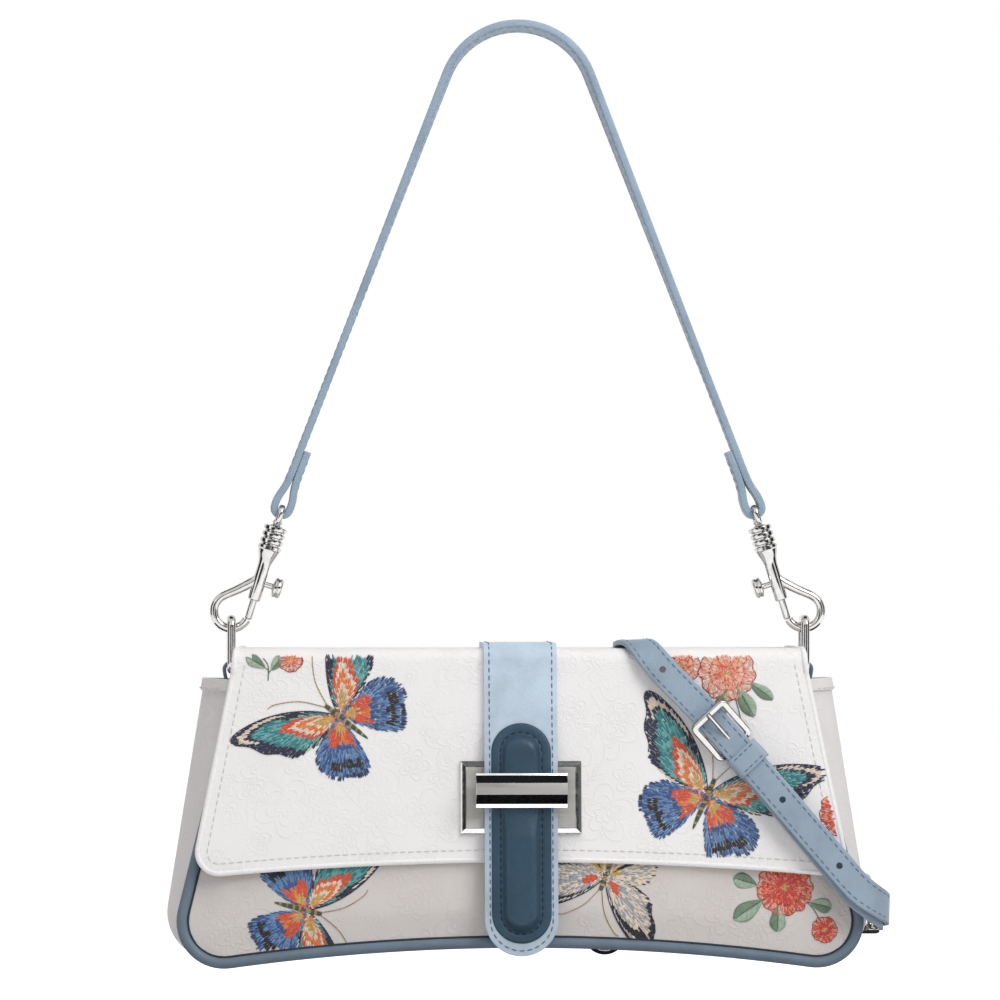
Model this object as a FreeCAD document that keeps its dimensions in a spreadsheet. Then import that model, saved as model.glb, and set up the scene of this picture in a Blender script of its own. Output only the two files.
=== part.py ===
import FreeCAD, Part
import math
import os
import re
from types import SimpleNamespace
import Sketcher

# A flap baguette bag hanging by its shoulder strap, with a crossbody strap wrapped round it.
# Millimetres. Origin under the top of the shoulder strap, +Z up, the front of the bag faces -Y.

SIZES = {
    # bag panels, measured along the leaning front and back
    "panel_height": 126.0,
    "seam_top_half": 111.0,
    "seam_base_half": 136.0,
    "base_level": 25.0,
    "foot_half": 115.0,
    "foot_level": 2.4,
    "arch_rise": 7.7,
    "corner_radius": 17.0,
    "base_depth": 62.0,
    "top_depth": 36.0,
    "wall": 2.0,
    "bag_setback": 3.6,
    "bulge_top": 15.3,
    "bulge_base": 6.2,
    "gusset_drop": 10.0,
    "piping_diameter": 4.4,
    "piping_drop": 1.5,
    "seam_gap": 0.3,
    "lining_thick": 0.8,
    "board_thick": 1.5,
    "board_margin": 7.0,
    "board_half_depth": 23.0,
    "pocket_half": 70.0,
    "pocket_height": 70.0,
    "pocket_level": 30.0,
    # flap
    "flap_gap": 2.2,
    "flap_lining_thick": 0.8,
    "flap_thick": 1.6,
    "flap_top_half": 113.0,
    "flap_base_half": 131.0,
    "flap_base_level": 47.0,
    "flap_foot_half": 121.0,
    "flap_edge_level": 37.0,
    "flap_edge_rise": 5.5,
    "flap_corner_radius": 9.5,
    "flap_root_length": 24.0,
    "lid_gap": 1.0,
    "fold_gap": 1.0,
    # closure strap, its pad and its buckle
    "closure_width": 30.0,
    "closure_thick": 2.2,
    "closure_tip_level": 4.0,
    "closure_root_length": 22.0,
    "pad_width": 22.5,
    "pad_thick": 2.6,
    "pad_low": 10.0,
    "pad_high": 98.0,
    "plate_overhang": 9.5,
    "plate_height": 29.5,
    "plate_thick": 2.5,
    "plate_rim": 2.4,
    "plate_level": 68.4,
    "bar_overhang": 3.5,
    "bar_height": 14.0,
    "bar_thick": 5.0,
    "bar_slope": 3.2,
    "bar_level": 70.6,
    "post_radius": 1.3,
    "magnet_radius": 7.0,
    "magnet_level": 21.0,
    "magnet_thick": 3.0,
    "fit_gap": 0.3,
    # shoulder strap
    "strap_width": 12.0,
    "strap_thick": 3.0,
    "strap_lean": 21.3,
    "strap_arch_radius": 31.0,
    "strap_eye_half": 96.0,
    "strap_lap": 24.0,
    # trigger hook, measured down its axis from the swivel eye
    "hook_tilt": 17.0,
    "eye_wire_radius": 1.3,
    "eye_half_width": 7.6,
    "eye_length": 6.5,
    "eye_corner": 1.5,
    "stem_radius": 1.5,
    "stem_end": 12.5,
    "turn_gap": 0.1,
    "collar_top": 8.0,
    "collar_radius": 4.8,
    "collar_neck_radius": 3.4,
    "collar_rib": 1.5,
    "collar_groove": 1.2,
    "collar_ribs": 3,
    "cone_top": 17.8,
    "cone_end": 24.0,
    "shank_radius": 2.7,
    "shank_end": 39.3,
    "loop_centre_down": 46.2,
    "loop_centre_out": 7.4,
    "loop_radius": 7.0,
    "loop_wire_radius": 1.75,
    "loop_root_down": 32.0,
    "loop_root_out": 1.2,
    "nose_angle": 18.0,
    "gate_radius": 1.5,
    "gate_gap": 0.15,
    "gate_tip": 47.4,
    "gate_travel": 6.5,
    "spring_top": 18.8,
    "spring_wire": 0.5,
    "knob_down": 31.8,
    "knob_stem_radius": 1.2,
    "knob_stem_length": 6.4,
    "knob_radius": 3.6,
    "knob_thick": 3.0,
    # link rings and their tabs
    "ring_wire_radius": 1.7,
    "ring_half_width": 8.7,
    "ring_height": 20.5,
    "ring_corner": 3.0,
    "ring_sink": 5.3,
    "link_gap": 0.4,
    "tab_thick": 1.5,
    "tab_width": 10.0,
    "tab_length": 20.0,
    "tab_gap": 0.3,
    # crossbody strap, wrapped on a slant from the top fold to the right side
    "cross_width": 12.0,
    "cross_thick": 2.0,
    "cross_start_half": 46.0,
    "cross_start_level": 132.0,
    "cross_slant": 46.6,
    "cross_first": 4.5,
    "cross_run": 137.0,
    "cross_turn": 22.0,
    "cross_side_run": 14.0,
    "cross_side_level": 27.0,
    "cross_side_gap": 5.4,
    "hole_radius": 1.5,
    "hole_first": 17.2,
    "hole_pitch": 35.4,
    "hole_count": 4,
    "buckle_centre": 51.0,
    "buckle_half_length": 8.2,
    "buckle_half_width": 8.0,
    "buckle_wire_radius": 1.3,
    "buckle_corner": 3.0,
    "anchor_thick": 1.2,
    "prong_radius": 0.9,
    "prong_root_thick": 1.2,
    "prong_slot": 12.0,
    "keeper_centre": 66.5,
    "keeper_length": 9.0,
    "keeper_thick": 1.0,
    # put-away length of the crossbody strap behind the back panel
    "hank_half": 46.0,
    "hank_high": 112.0,
    "hank_low": 56.0,
    "hank_pitch": 2.7,
    "hank_runs": 9,
    "hank_bend": 1.3,
    "tie_width": 14.0,
    "tie_thick": 1.0,
    # every cut runs past its face by this much
    "overrun": 4.0,
}

doc = FreeCAD.newDocument("baguette_bag")
sheet = doc.addObject("Spreadsheet::Sheet", "sizes")
for row, (alias, value) in enumerate(SIZES.items(), start=1):
    sheet.set("A%d" % row, alias)
    sheet.set("B%d" % row, str(value))
    sheet.setAlias("B%d" % row, alias)
doc.recompute()
s = SimpleNamespace(**{alias: sheet.get(alias) for alias in SIZES})

Vector = FreeCAD.Vector
X_AXIS = Vector(1, 0, 0)
Y_AXIS = Vector(0, 1, 0)
Z_AXIS = Vector(0, 0, 1)
PIECES = []


def turn(axis, degrees):
    return FreeCAD.Rotation(axis, degrees)


def at(x, y, z):
    return FreeCAD.Placement(Vector(x, y, z), FreeCAD.Rotation())


def keep(piece, name, placement):
    """Name a finished piece, seat it and list it for writing."""
    piece.Label = name
    piece.Placement = placement
    PIECES.append(piece)
    return piece


def bind(piece, **formulas):
    """Tie properties to formulas written in the names of the sheet."""
    for prop, formula in formulas.items():
        piece.setExpression(prop, named(formula))


def named(formula):
    return re.sub(r"[a-z_]+", lambda word: "sizes." + word.group(0), formula)


def number(formula):
    return float(sheet.evalExpression(named(formula)))


def feature(name, shape, placement):
    piece = doc.addObject("Part::Feature", name)
    piece.Shape = shape
    return keep(piece, name, placement * shape.Placement)


def box(name, placement, length, width, height):
    piece = doc.addObject("Part::Box", name)
    bind(piece, Length=length, Width=width, Height=height)
    return keep(piece, name, placement)


def disc(name, placement, radius, height):
    piece = doc.addObject("Part::Cylinder", name)
    bind(piece, Radius=radius, Height=height)
    return keep(piece, name, placement)


def sketch_on(body, role, corners):
    """Draw a closed polygon whose corners are pairs of formulas."""
    plane = [item for item in body.Origin.OriginFeatures if item.Role == role][0]
    sketch = body.newObject("Sketcher::SketchObject", body.Name + "_outline")
    sketch.AttachmentSupport = (plane, [""])
    sketch.MapMode = "FlatFace"
    points = [Vector(number(across), number(up), 0) for across, up in corners]
    count = len(points)
    for i in range(count):
        sketch.addGeometry(Part.LineSegment(points[i], points[(i + 1) % count]), False)
    for i in range(count):
        sketch.addConstraint(Sketcher.Constraint("Coincident", i, 2, (i + 1) % count, 1))
    for i, (across, up) in enumerate(corners):
        for kind, formula in (("DistanceX", across), ("DistanceY", up)):
            place = sketch.addConstraint(Sketcher.Constraint(kind, -1, 1, i, 1, number(formula)))
            sketch.setExpression("Constraints[%d]" % place, named(formula))
    return sketch


def padded(name, placement, role, corners, length):
    """A flat piece cut from stock of one thickness, half of it on each side of its plane."""
    body = doc.addObject("PartDesign::Body", name)
    sketch = sketch_on(body, role, corners)
    pad = body.newObject("PartDesign::Pad", name + "_pad")
    pad.Profile = sketch
    pad.Midplane = True
    bind(pad, Length=length)
    keep(body, name, placement)
    return body


def rectangle(half_across, half_up):
    return [("-(%s)" % half_across, "-(%s)" % half_up), (half_across, "-(%s)" % half_up),
            (half_across, half_up), ("-(%s)" % half_across, half_up)]


def rounded_path(points, radii, closed=False):
    """Straight runs between points, joined by tangent arcs of the radii given."""
    count = len(points)
    corners = range(count) if closed else range(1, count - 1)
    joins = {}
    for i in corners:
        before = (points[i - 1] - points[i]).normalize()
        after = (points[(i + 1) % count] - points[i]).normalize()
        half = before.getAngle(after) / 2
        reach = radii[i] / math.tan(half)
        middle = (before + after).normalize()
        inner = points[i] + middle * (radii[i] / math.sin(half) - radii[i])
        joins[i] = (points[i] + before * reach, inner, points[i] + after * reach)
    edges = []
    for i in range(count if closed else count - 1):
        nxt = (i + 1) % count
        start = joins[i][2] if i in joins else points[i]
        end = joins[nxt][0] if nxt in joins else points[nxt]
        if (end - start).Length > s.turn_gap:
            edges.append(Part.LineSegment(start, end).toShape())
        if nxt in joins:
            edges.append(Part.Arc(*joins[nxt]).toShape())
    return Part.Wire(Part.__sortEdges__(edges))


def tube(path, radius, start, direction):
    ring = Part.Wire(Part.makeCircle(radius, start, direction))
    return path.makePipeShell([ring], True, False)


def band(path, start, direction, across, width, thick):
    """A strap of one width and thickness along a flat path."""
    up = direction.cross(across).normalize()
    side = across * (width / 2)
    rise = up * (thick / 2)
    ring = [start - side - rise, start + side - rise, start + side + rise, start - side + rise]
    return path.makePipeShell([Part.makePolygon(ring + ring[:1])], True, False)


def ribbon(sections, width, thick):
    """A strap that turns in space, ruled through sections of centre, width direction and normal."""
    wires = []
    for centre, across, normal in sections:
        side = across * (width / 2)
        rise = normal * (thick / 2)
        ring = [centre - side - rise, centre + side - rise, centre + side + rise, centre - side + rise]
        wires.append(Part.makePolygon(ring + ring[:1]))
    return Part.makeLoft(wires, True, True)


# Heights of the hanging chain: strap top, swivel eye, hook, link ring, bag
lean = math.radians(s.strap_lean)
tilt = math.radians(s.hook_tilt)
arch_sink = s.strap_arch_radius * (1 / math.sin(lean) - 1)
peak_level = s.strap_thick / 2 + arch_sink
eye_level = peak_level - s.strap_eye_half / math.tan(lean)
low_down = s.loop_centre_down + s.loop_radius * math.cos(tilt)
low_out = s.loop_centre_out - s.loop_radius * math.sin(tilt)
ring_half = s.strap_eye_half + low_down * math.sin(tilt) + low_out * math.cos(tilt)
swing_level = eye_level - low_down * math.cos(tilt) + low_out * math.sin(tilt)
ring_top_level = swing_level + s.loop_wire_radius + s.link_gap + s.ring_wire_radius
ring_low_level = ring_top_level - s.ring_height

# Places of the bag: its base, its leaning front and back, and the fold of the flap
panel_lean = math.degrees(math.asin((s.base_depth - s.top_depth) / 2 / s.panel_height))
bag_top = s.panel_height * math.cos(math.radians(panel_lean))
BAG = at(0, s.bag_setback, ring_low_level + s.ring_sink - bag_top)
FRONT = BAG * FreeCAD.Placement(Vector(0, -s.base_depth / 2, 0), turn(X_AXIS, -panel_lean))
BACK = BAG * FreeCAD.Placement(Vector(0, s.base_depth / 2, 0), turn(X_AXIS, panel_lean))
flap_inside = s.flap_gap
flap_middle = flap_inside + s.flap_lining_thick
flap_outside = flap_middle + s.flap_thick
lid_level = bag_top + s.lid_gap
fold_y = -s.top_depth / 2 - flap_middle
fold_level = lid_level + s.flap_lining_thick
fold_slant = s.panel_height + s.lid_gap + s.flap_lining_thick


def outline(top_half, top, base_half, base, radius, foot_half, foot, rise):
    """The lines of a panel: leaning side, rounded corner and arched bottom edge."""
    return SimpleNamespace(top_half=top_half, top=top, base_half=base_half, base=base, radius=radius,
                           foot_half=foot_half, foot=foot, rise=rise)


def edge_points(form, inset, top):
    """Right-hand points of a panel edge set in by a margin: top, corner start, middle, end, arch middle."""
    base = Vector(form.base_half, 0, form.base)
    along = (Vector(form.top_half, 0, form.top) - base).normalize()
    out = Vector(along.z, 0, -along.x)
    arch_radius = (form.foot_half ** 2 + form.rise ** 2) / (2 * form.rise)
    arch_centre = Vector(0, 0, form.foot + form.rise - arch_radius)
    from_arch = base - out * form.radius - arch_centre
    step = from_arch.dot(along)
    reach = math.sqrt(step ** 2 - from_arch.dot(from_arch) + (arch_radius + form.radius) ** 2)
    centre = base - out * form.radius + along * (reach - step)
    down = (arch_centre - centre).normalize()
    between = (out + down).normalize()
    radius = form.radius - inset
    line = base - out * inset
    high = line + along * ((top - line.z) / along.z)
    low = Vector(0, 0, arch_centre.z + arch_radius + inset)
    return [high, centre + out * radius, centre + between * radius, centre + down * radius, low]


def mirrored(point):
    return Vector(-point.x, point.y, point.z)


def edge_wire(form, inset, top, closed=True):
    high, corner_start, corner, corner_end, low = edge_points(form, inset, top)
    edges = [
        Part.LineSegment(high, corner_start),
        Part.Arc(corner_start, corner, corner_end),
        Part.Arc(corner_end, low, mirrored(corner_end)),
        Part.Arc(mirrored(corner_end), mirrored(corner), mirrored(corner_start)),
        Part.LineSegment(mirrored(corner_start), mirrored(high)),
    ]
    if closed:
        edges.append(Part.LineSegment(mirrored(high), high))
    return Part.Wire([edge.toShape() for edge in edges])


def plate(wire, near, thick):
    """A flat sheet from its edge, starting this far behind the plane of the edge."""
    return Part.Face(wire).extrude(Y_AXIS * thick).translated(Y_AXIS * near)


SEAM = outline(s.seam_top_half, s.panel_height, s.seam_base_half, s.base_level, s.corner_radius,
               s.foot_half, s.foot_level, s.arch_rise)
MIDDLE = outline(s.seam_top_half + s.bulge_top, s.panel_height, s.seam_base_half + s.bulge_base,
                 s.base_level, s.corner_radius, s.foot_half, s.foot_level, s.arch_rise)
FLAP = outline(s.flap_top_half, s.panel_height, s.flap_base_half, s.flap_base_level,
               s.flap_corner_radius, s.flap_foot_half, s.flap_edge_level, s.flap_edge_rise)
piping_radius = s.piping_diameter / 2
panel_inset = piping_radius + s.seam_gap
lean_front = BAG.inverse() * FRONT
lean_back = BAG.inverse() * BACK


def bag_form(inset, depth_inset, top):
    """The bag between its panels: front edge, bulging middle, back edge."""
    inward = depth_inset / math.cos(math.radians(panel_lean))
    front = edge_wire(SEAM, inset, top)
    front.Placement = at(0, inward, 0) * lean_front
    middle = edge_wire(MIDDLE, inset, top)
    back = edge_wire(SEAM, inset, top)
    back.Placement = at(0, -inward, 0) * lean_back
    return Part.makeLoft([front, middle, back], True, False)


def shell(outer_inset, outer_depth, thick, inner_depth, top):
    """A strip or liner of one thickness, open at the top."""
    outer = bag_form(outer_inset, outer_depth, top)
    inner = bag_form(outer_inset + thick, inner_depth, top + s.overrun)
    return outer.cut(inner)


# Panels, gusset, piping
feature("front_panel", plate(edge_wire(SEAM, panel_inset, s.panel_height), 0, s.wall), FRONT)
feature("back_panel", plate(edge_wire(SEAM, panel_inset, s.panel_height), -s.wall, s.wall), BACK)
gusset_top = s.panel_height - s.gusset_drop
feature("gusset", shell(panel_inset, s.wall, s.wall, -s.overrun, gusset_top), BAG)


def piping(name, middle, placement):
    path = edge_wire(SEAM, 0, s.panel_height - s.piping_drop, closed=False)
    path.translate(Y_AXIS * middle)
    start = path.Edges[0].firstVertex(True).Point
    return feature(name, tube(path, piping_radius, start, path.Edges[0].tangentAt(0)), placement)


piping("front_piping", s.wall / 2, FRONT)
piping("back_piping", -s.wall / 2, BACK)

# Lining, bottom board and inner pocket
liner_inset = panel_inset + s.wall + s.seam_gap
liner_depth = s.wall + s.seam_gap
feature("lining", shell(liner_inset, liner_depth, s.lining_thick, liner_depth + s.lining_thick,
                        gusset_top), BAG)
inside_inset = liner_inset + s.lining_thick + s.seam_gap
board_low = edge_points(SEAM, inside_inset, s.panel_height)
board_high = edge_points(SEAM, inside_inset + s.board_thick, s.panel_height)
board_half = board_low[3].x - s.board_margin


def on_arch(points, across):
    """The height of the bottom arch at a distance from its middle."""
    end, low = points[3], points[4]
    radius = (end.x ** 2 + (low.z - end.z) ** 2) / (2 * (low.z - end.z))
    return Vector(across, 0, low.z - radius + math.sqrt(radius ** 2 - across ** 2))


board_end_low = on_arch(board_low, board_half)
board_end_high = on_arch(board_high, board_half)
board_edge = Part.Wire([
    Part.Arc(mirrored(board_end_low), board_low[4], board_end_low).toShape(),
    Part.LineSegment(board_end_low, board_end_high).toShape(),
    Part.Arc(board_end_high, board_high[4], mirrored(board_end_high)).toShape(),
    Part.LineSegment(mirrored(board_end_high), mirrored(board_end_low)).toShape(),
])
feature("bottom_board", plate(board_edge, -s.board_half_depth, 2 * s.board_half_depth), BAG)
padded("inner_pocket", BACK * at(0, -(liner_depth + s.lining_thick + s.seam_gap + s.lining_thick / 2),
                                 s.pocket_level + s.pocket_height / 2),
       "XZ_Plane", rectangle("pocket_half", "pocket_height / 2"), "lining_thick")

# Flap: panel and lining down the front, lid over the top, root sewn on the back
flap_top = fold_slant - s.fold_gap
feature("flap_panel", plate(edge_wire(FLAP, 0, flap_top), -flap_outside, s.flap_thick), FRONT)
feature("flap_lining", plate(edge_wire(FLAP, s.flap_thick, flap_top), -flap_middle,
                             s.flap_lining_thick), FRONT)
lid_front = fold_y + s.fold_gap
lid_thick = "(flap_lining_thick + flap_thick)"
lid_length = "(top_depth + flap_gap + flap_lining_thick - fold_gap)"
box("flap_lid", BAG * at(-s.flap_top_half, lid_front, lid_level), "2 * flap_top_half",
    lid_length + " + %s - 2 * fit_gap" % lid_thick, lid_thick)
root_half = s.seam_top_half - panel_inset
box("flap_root", BACK * at(-root_half, 0, s.panel_height - s.flap_root_length),
    "2 * (seam_top_half - piping_diameter / 2 - seam_gap)", "flap_lining_thick + flap_thick",
    "flap_root_length")

# Closure strap over the lid and down the front, with its pad
closure_near = flap_outside + s.plate_thick + s.fit_gap
closure_far = closure_near + s.closure_thick
closure_top = fold_slant - s.fold_gap
tip_round = s.closure_width / 2


def strap_outline(half, low, high, round_top):
    """A straight strip with a round lower end and a square or round upper end."""
    left_low, right_low = Vector(-half, 0, low + half), Vector(half, 0, low + half)
    top = high - half if round_top else high
    left_top, right_top = Vector(-half, 0, top), Vector(half, 0, top)
    edges = [Part.Arc(left_low, Vector(0, 0, low), right_low), Part.LineSegment(right_low, right_top)]
    if round_top:
        edges.append(Part.Arc(right_top, Vector(0, 0, high), left_top))
    else:
        edges.append(Part.LineSegment(right_top, left_top))
    edges.append(Part.LineSegment(left_top, left_low))
    return Part.Wire([edge.toShape() for edge in edges])


feature("closure_strap", plate(strap_outline(tip_round, s.closure_tip_level, closure_top, False),
                               -closure_far, s.closure_thick), FRONT)
feature("strap_pad", plate(strap_outline(s.pad_width / 2, s.pad_low, s.pad_high, True),
                           -closure_far - s.pad_thick, s.pad_thick), FRONT)
closure_lid_level = lid_level + s.flap_lining_thick + s.flap_thick
box("closure_strap_top", BAG * at(-s.closure_width / 2, lid_front, closure_lid_level), "closure_width",
    lid_length + " + %s + closure_thick" % lid_thick, "closure_thick")
box("closure_strap_root", BACK * at(-s.closure_width / 2, s.flap_lining_thick + s.flap_thick,
                                    s.panel_height - s.closure_root_length),
    "closure_width", "closure_thick", "closure_root_length")

# Buckle: plate under the strap, bridge bar over the pad, two posts between them
plate_middle = flap_outside + s.plate_thick / 2
buckle_plate = padded("buckle_plate", FRONT * at(0, -plate_middle, s.plate_level), "XZ_Plane",
                      rectangle("closure_width / 2 + plate_overhang", "plate_height / 2"), "plate_thick")
doc.recompute()
pad_tip = buckle_plate.Tip
face_front = min(range(len(pad_tip.Shape.Faces)), key=lambda i: pad_tip.Shape.Faces[i].CenterOfMass.y)
chamfer = buckle_plate.newObject("PartDesign::Chamfer", "plate_bevel")
chamfer.Base = (pad_tip, ["Face%d" % (face_front + 1)])
chamfer.ChamferType = "Two distances"
bind(chamfer, Size="plate_thick / 2", Size2="plate_rim")
buckle_plate.Tip = chamfer
bar_back = closure_far + s.pad_thick + s.fit_gap
padded("buckle_bar", FRONT * at(0, -bar_back, s.bar_level), "YZ_Plane", [
    ("0 * bar_thick", "-bar_height / 2"),
    ("0 * bar_thick", "bar_height / 2"),
    ("-bar_thick / 2", "bar_height / 2"),
    ("-bar_thick", "bar_height / 2 - bar_slope"),
    ("-bar_thick", "bar_slope - bar_height / 2"),
    ("-bar_thick / 2", "-bar_height / 2"),
], "closure_width + 2 * bar_overhang")
post_half = (s.closure_width + s.bar_overhang) / 2
posts = []
for side in (-1, 1):
    post = doc.addObject("Part::Cylinder", "post")
    bind(post, Radius="post_radius",
         Height="fit_gap + closure_thick + pad_thick + fit_gap")
    post.Placement = FreeCAD.Placement(Vector(side * post_half, 0, 0), turn(X_AXIS, 90))
    posts.append(post)
bar_posts = doc.addObject("Part::Compound", "bar_posts")
bar_posts.Links = posts
keep(bar_posts, "bar_posts", FRONT * at(0, -(flap_outside + s.plate_thick), s.bar_level))

# Magnet: socket on the front panel, stud on the back of the closure strap
front_turn = FreeCAD.Placement(Vector(), turn(X_AXIS, 90))
disc("magnet_socket", FRONT * at(0, 0, s.magnet_level) * front_turn, "magnet_radius", "magnet_thick")
stud_thick = "(flap_gap + flap_lining_thick + flap_thick + plate_thick - magnet_thick)"
disc("magnet_stud", FRONT * at(0, -(s.magnet_thick + s.fit_gap), s.magnet_level) * front_turn,
     "magnet_radius", stud_thick)


# Trigger hook: local +X is the side the loop swells to, +Z points back up to the strap
def eye_shape():
    half, drop = s.eye_half_width, -s.eye_length
    corners = [Vector(0, -half, 0), Vector(0, half, 0), Vector(0, half, drop), Vector(0, -half, drop)]
    path = rounded_path(corners, [s.eye_corner] * len(corners), closed=True)
    middle = Vector(0, 0, 0)
    loop = tube(path, s.eye_wire_radius, middle, Y_AXIS)
    stem = Part.makeCylinder(s.stem_radius, s.stem_end - s.eye_length, Vector(0, 0, -s.stem_end))
    return loop.fuse(stem).removeSplitter()


def hook_profile():
    """Half section of the ribbed collar, cone and shank, as radius and distance down the axis."""
    points = [(0, s.collar_top)]
    down = s.collar_top
    for _ in range(int(s.collar_ribs)):
        points += [(s.collar_radius, down), (s.collar_radius, down + s.collar_rib)]
        points += [(s.collar_neck_radius, down + s.collar_rib)]
        down += s.collar_rib + s.collar_groove
        points += [(s.collar_neck_radius, down)]
    points += [(s.collar_radius, down), (s.collar_radius, s.cone_top)]
    points += [(s.shank_radius, s.cone_end), (s.shank_radius, s.shank_end), (0, s.shank_end)]
    return [Vector(radius, 0, -drop) for radius, drop in points]


def loop_path():
    """From the root on the shank, straight to the round loop and round it to the nose."""
    centre = Vector(s.loop_centre_out, 0, -s.loop_centre_down)
    root = Vector(s.loop_root_out, 0, -s.loop_root_down)
    span = (centre - root).Length
    heading = math.atan2(centre.x - root.x, root.z - centre.z) + math.asin(s.loop_radius / span)
    reach = math.sqrt(span ** 2 - s.loop_radius ** 2)
    touch = root + Vector(math.sin(heading), 0, -math.cos(heading)) * reach
    nose_turn = math.radians(s.nose_angle)
    nose = centre + Vector(-math.cos(nose_turn), 0, -math.sin(nose_turn)) * s.loop_radius
    bottom = centre + (Vector(1, 0, -1).normalize()) * s.loop_radius
    path = Part.Wire([Part.LineSegment(root, touch).toShape(), Part.Arc(touch, bottom, nose).toShape()])
    return path, root, touch


def hook_shape():
    points = hook_profile()
    turned = Part.Face(Part.makePolygon(points + points[:1])).revolve(Vector(), Z_AXIS, 360)
    path, root, touch = loop_path()
    loop = tube(path, s.loop_wire_radius, root, touch - root)
    bore_radius = s.gate_radius + s.gate_gap
    bore = Part.makeCylinder(bore_radius, s.shank_end + s.overrun - s.spring_top,
                             Vector(0, 0, -s.shank_end - s.overrun))
    stem_hole = Part.makeCylinder(s.stem_radius + s.turn_gap, s.stem_end + s.turn_gap,
                                  Vector(0, 0, -s.stem_end - s.turn_gap))
    slot_half = s.knob_stem_radius + s.gate_gap
    slot_length = s.gate_travel + 2 * slot_half
    slot = Part.makeBox(s.knob_stem_length, 2 * slot_half, slot_length,
                        Vector(-s.knob_stem_length, -slot_half, -s.knob_down - slot_half))
    return turned.fuse(loop).cut(bore).cut(stem_hole).cut(slot)


def gate_shape():
    bolt_top = s.knob_down - s.knob_stem_radius - s.gate_radius / 2
    bolt = Part.makeCylinder(s.gate_radius, s.gate_tip - bolt_top, Vector(0, 0, -s.gate_tip))
    stem = Part.makeCylinder(s.knob_stem_radius, s.knob_stem_length, Vector(0, 0, -s.knob_down), -X_AXIS)
    head = Part.makeCylinder(s.knob_radius, s.knob_thick, Vector(-s.knob_stem_length, 0, -s.knob_down),
                             -X_AXIS)
    return bolt.fuse(stem).fuse(head).removeSplitter()


def spring_shape():
    """The closed outer form of the small spring hidden in the shank."""
    length = s.knob_down - s.knob_stem_radius - s.gate_radius / 2 - s.spring_top
    base = Vector(0, 0, -s.spring_top - length)
    outer = Part.makeCylinder(s.gate_radius, length, base)
    inner = Part.makeCylinder(s.gate_radius - s.spring_wire, length, base)
    return outer.cut(inner)


def hook_set(name, place, hook_turn):
    """Swivel eye, hook, gate and spring on one axis, the hook turned about it by an angle."""
    turned = place * FreeCAD.Placement(Vector(), turn(Z_AXIS, hook_turn))
    feature("eye_" + name, eye_shape(), place)
    feature("hook_" + name, hook_shape(), turned)
    feature("gate_" + name, gate_shape(), turned)
    feature("spring_" + name, spring_shape(), turned)


right_hook = FreeCAD.Placement(Vector(s.strap_eye_half, 0, eye_level), turn(Y_AXIS, -s.hook_tilt))
left_hook = FreeCAD.Placement(Vector(-s.strap_eye_half, 0, eye_level),
                              turn(Y_AXIS, s.hook_tilt) * turn(Z_AXIS, 180))
hook_set("right", right_hook, 0)
hook_set("left", left_hook, 0)


# Shoulder strap: one arch, lapped back on itself round each swivel eye
def lapped_end(side):
    """The fold round the eye and the lap sewn back on the inner side of the leg."""
    eye = Vector(side * s.strap_eye_half, 0, eye_level)
    inner = s.eye_wire_radius + s.fit_gap
    half = Vector(0, -s.strap_width / 2, 0)
    fold = Part.makeCylinder(inner + s.strap_thick, s.strap_width, eye + half, Y_AXIS)
    hole = Part.makeCylinder(inner, s.strap_width, eye + half, Y_AXIS)
    near = -s.strap_thick if side > 0 else 0
    lap = Part.makeBox(s.strap_thick, s.strap_width, s.strap_lap, Vector(near, -s.strap_width / 2, 0))
    lap.Placement = FreeCAD.Placement(eye, turn(Y_AXIS, -side * s.strap_lean))
    return fold, hole, lap


leg_shift = s.strap_thick / 2 / math.cos(lean)
strap_ends = [Vector(side * (s.strap_eye_half + leg_shift), 0, eye_level) for side in (-1, 1)]
strap_peak = Vector(0, 0, eye_level + (s.strap_eye_half + leg_shift) / math.tan(lean))
strap_path = rounded_path([strap_ends[0], strap_peak, strap_ends[1]], [0, s.strap_arch_radius, 0])
arch = band(strap_path, strap_ends[0], strap_peak - strap_ends[0], Y_AXIS, s.strap_width, s.strap_thick)
for end in (-1, 1):
    fold, hole, lap = lapped_end(end)
    arch = arch.fuse(fold).fuse(lap).cut(hole)
feature("shoulder_strap", arch.removeSplitter(), at(0, 0, 0))


# Link rings and the leather tabs that hold them
def ring_shape():
    half, drop = s.ring_half_width, -s.ring_height
    corners = [Vector(0, -half, 0), Vector(0, half, 0), Vector(0, half, drop), Vector(0, -half, drop)]
    path = rounded_path(corners, [s.ring_corner] * len(corners), closed=True)
    return tube(path, s.ring_wire_radius, Vector(), Y_AXIS)


def liner_half(level, aside):
    """Half the width inside the lining at a level, this far in front of the middle of the bag."""
    inset = liner_inset + s.lining_thick
    edge = edge_points(SEAM, inset, level)[0].x
    middle = edge_points(MIDDLE, inset, level)[0].x
    half_depth = s.base_depth / 2 - level * math.tan(math.radians(panel_lean)) - liner_depth - s.lining_thick
    return middle - (middle - edge) * (aside / half_depth) ** 2


tab_reach = liner_half(gusset_top, s.tab_width / 2 + s.bag_setback) - s.tab_gap - ring_half


def tab_shape():
    """A leather loop round the lower bar, with a tongue sewn inside the lining."""
    inner = s.ring_wire_radius + s.link_gap
    outer = inner + s.tab_thick
    start = Vector(0, -s.tab_width / 2, 0)
    fold = Part.makeCylinder(outer, s.tab_width, start, Y_AXIS)
    tongue = Part.makeBox(2 * s.tab_thick, s.tab_width, s.tab_length,
                          Vector(tab_reach - 2 * s.tab_thick, -s.tab_width / 2, -s.tab_length))
    hole = Part.makeCylinder(inner, s.tab_width, start, Y_AXIS)
    return fold.fuse(tongue).cut(hole).removeSplitter()


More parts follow.
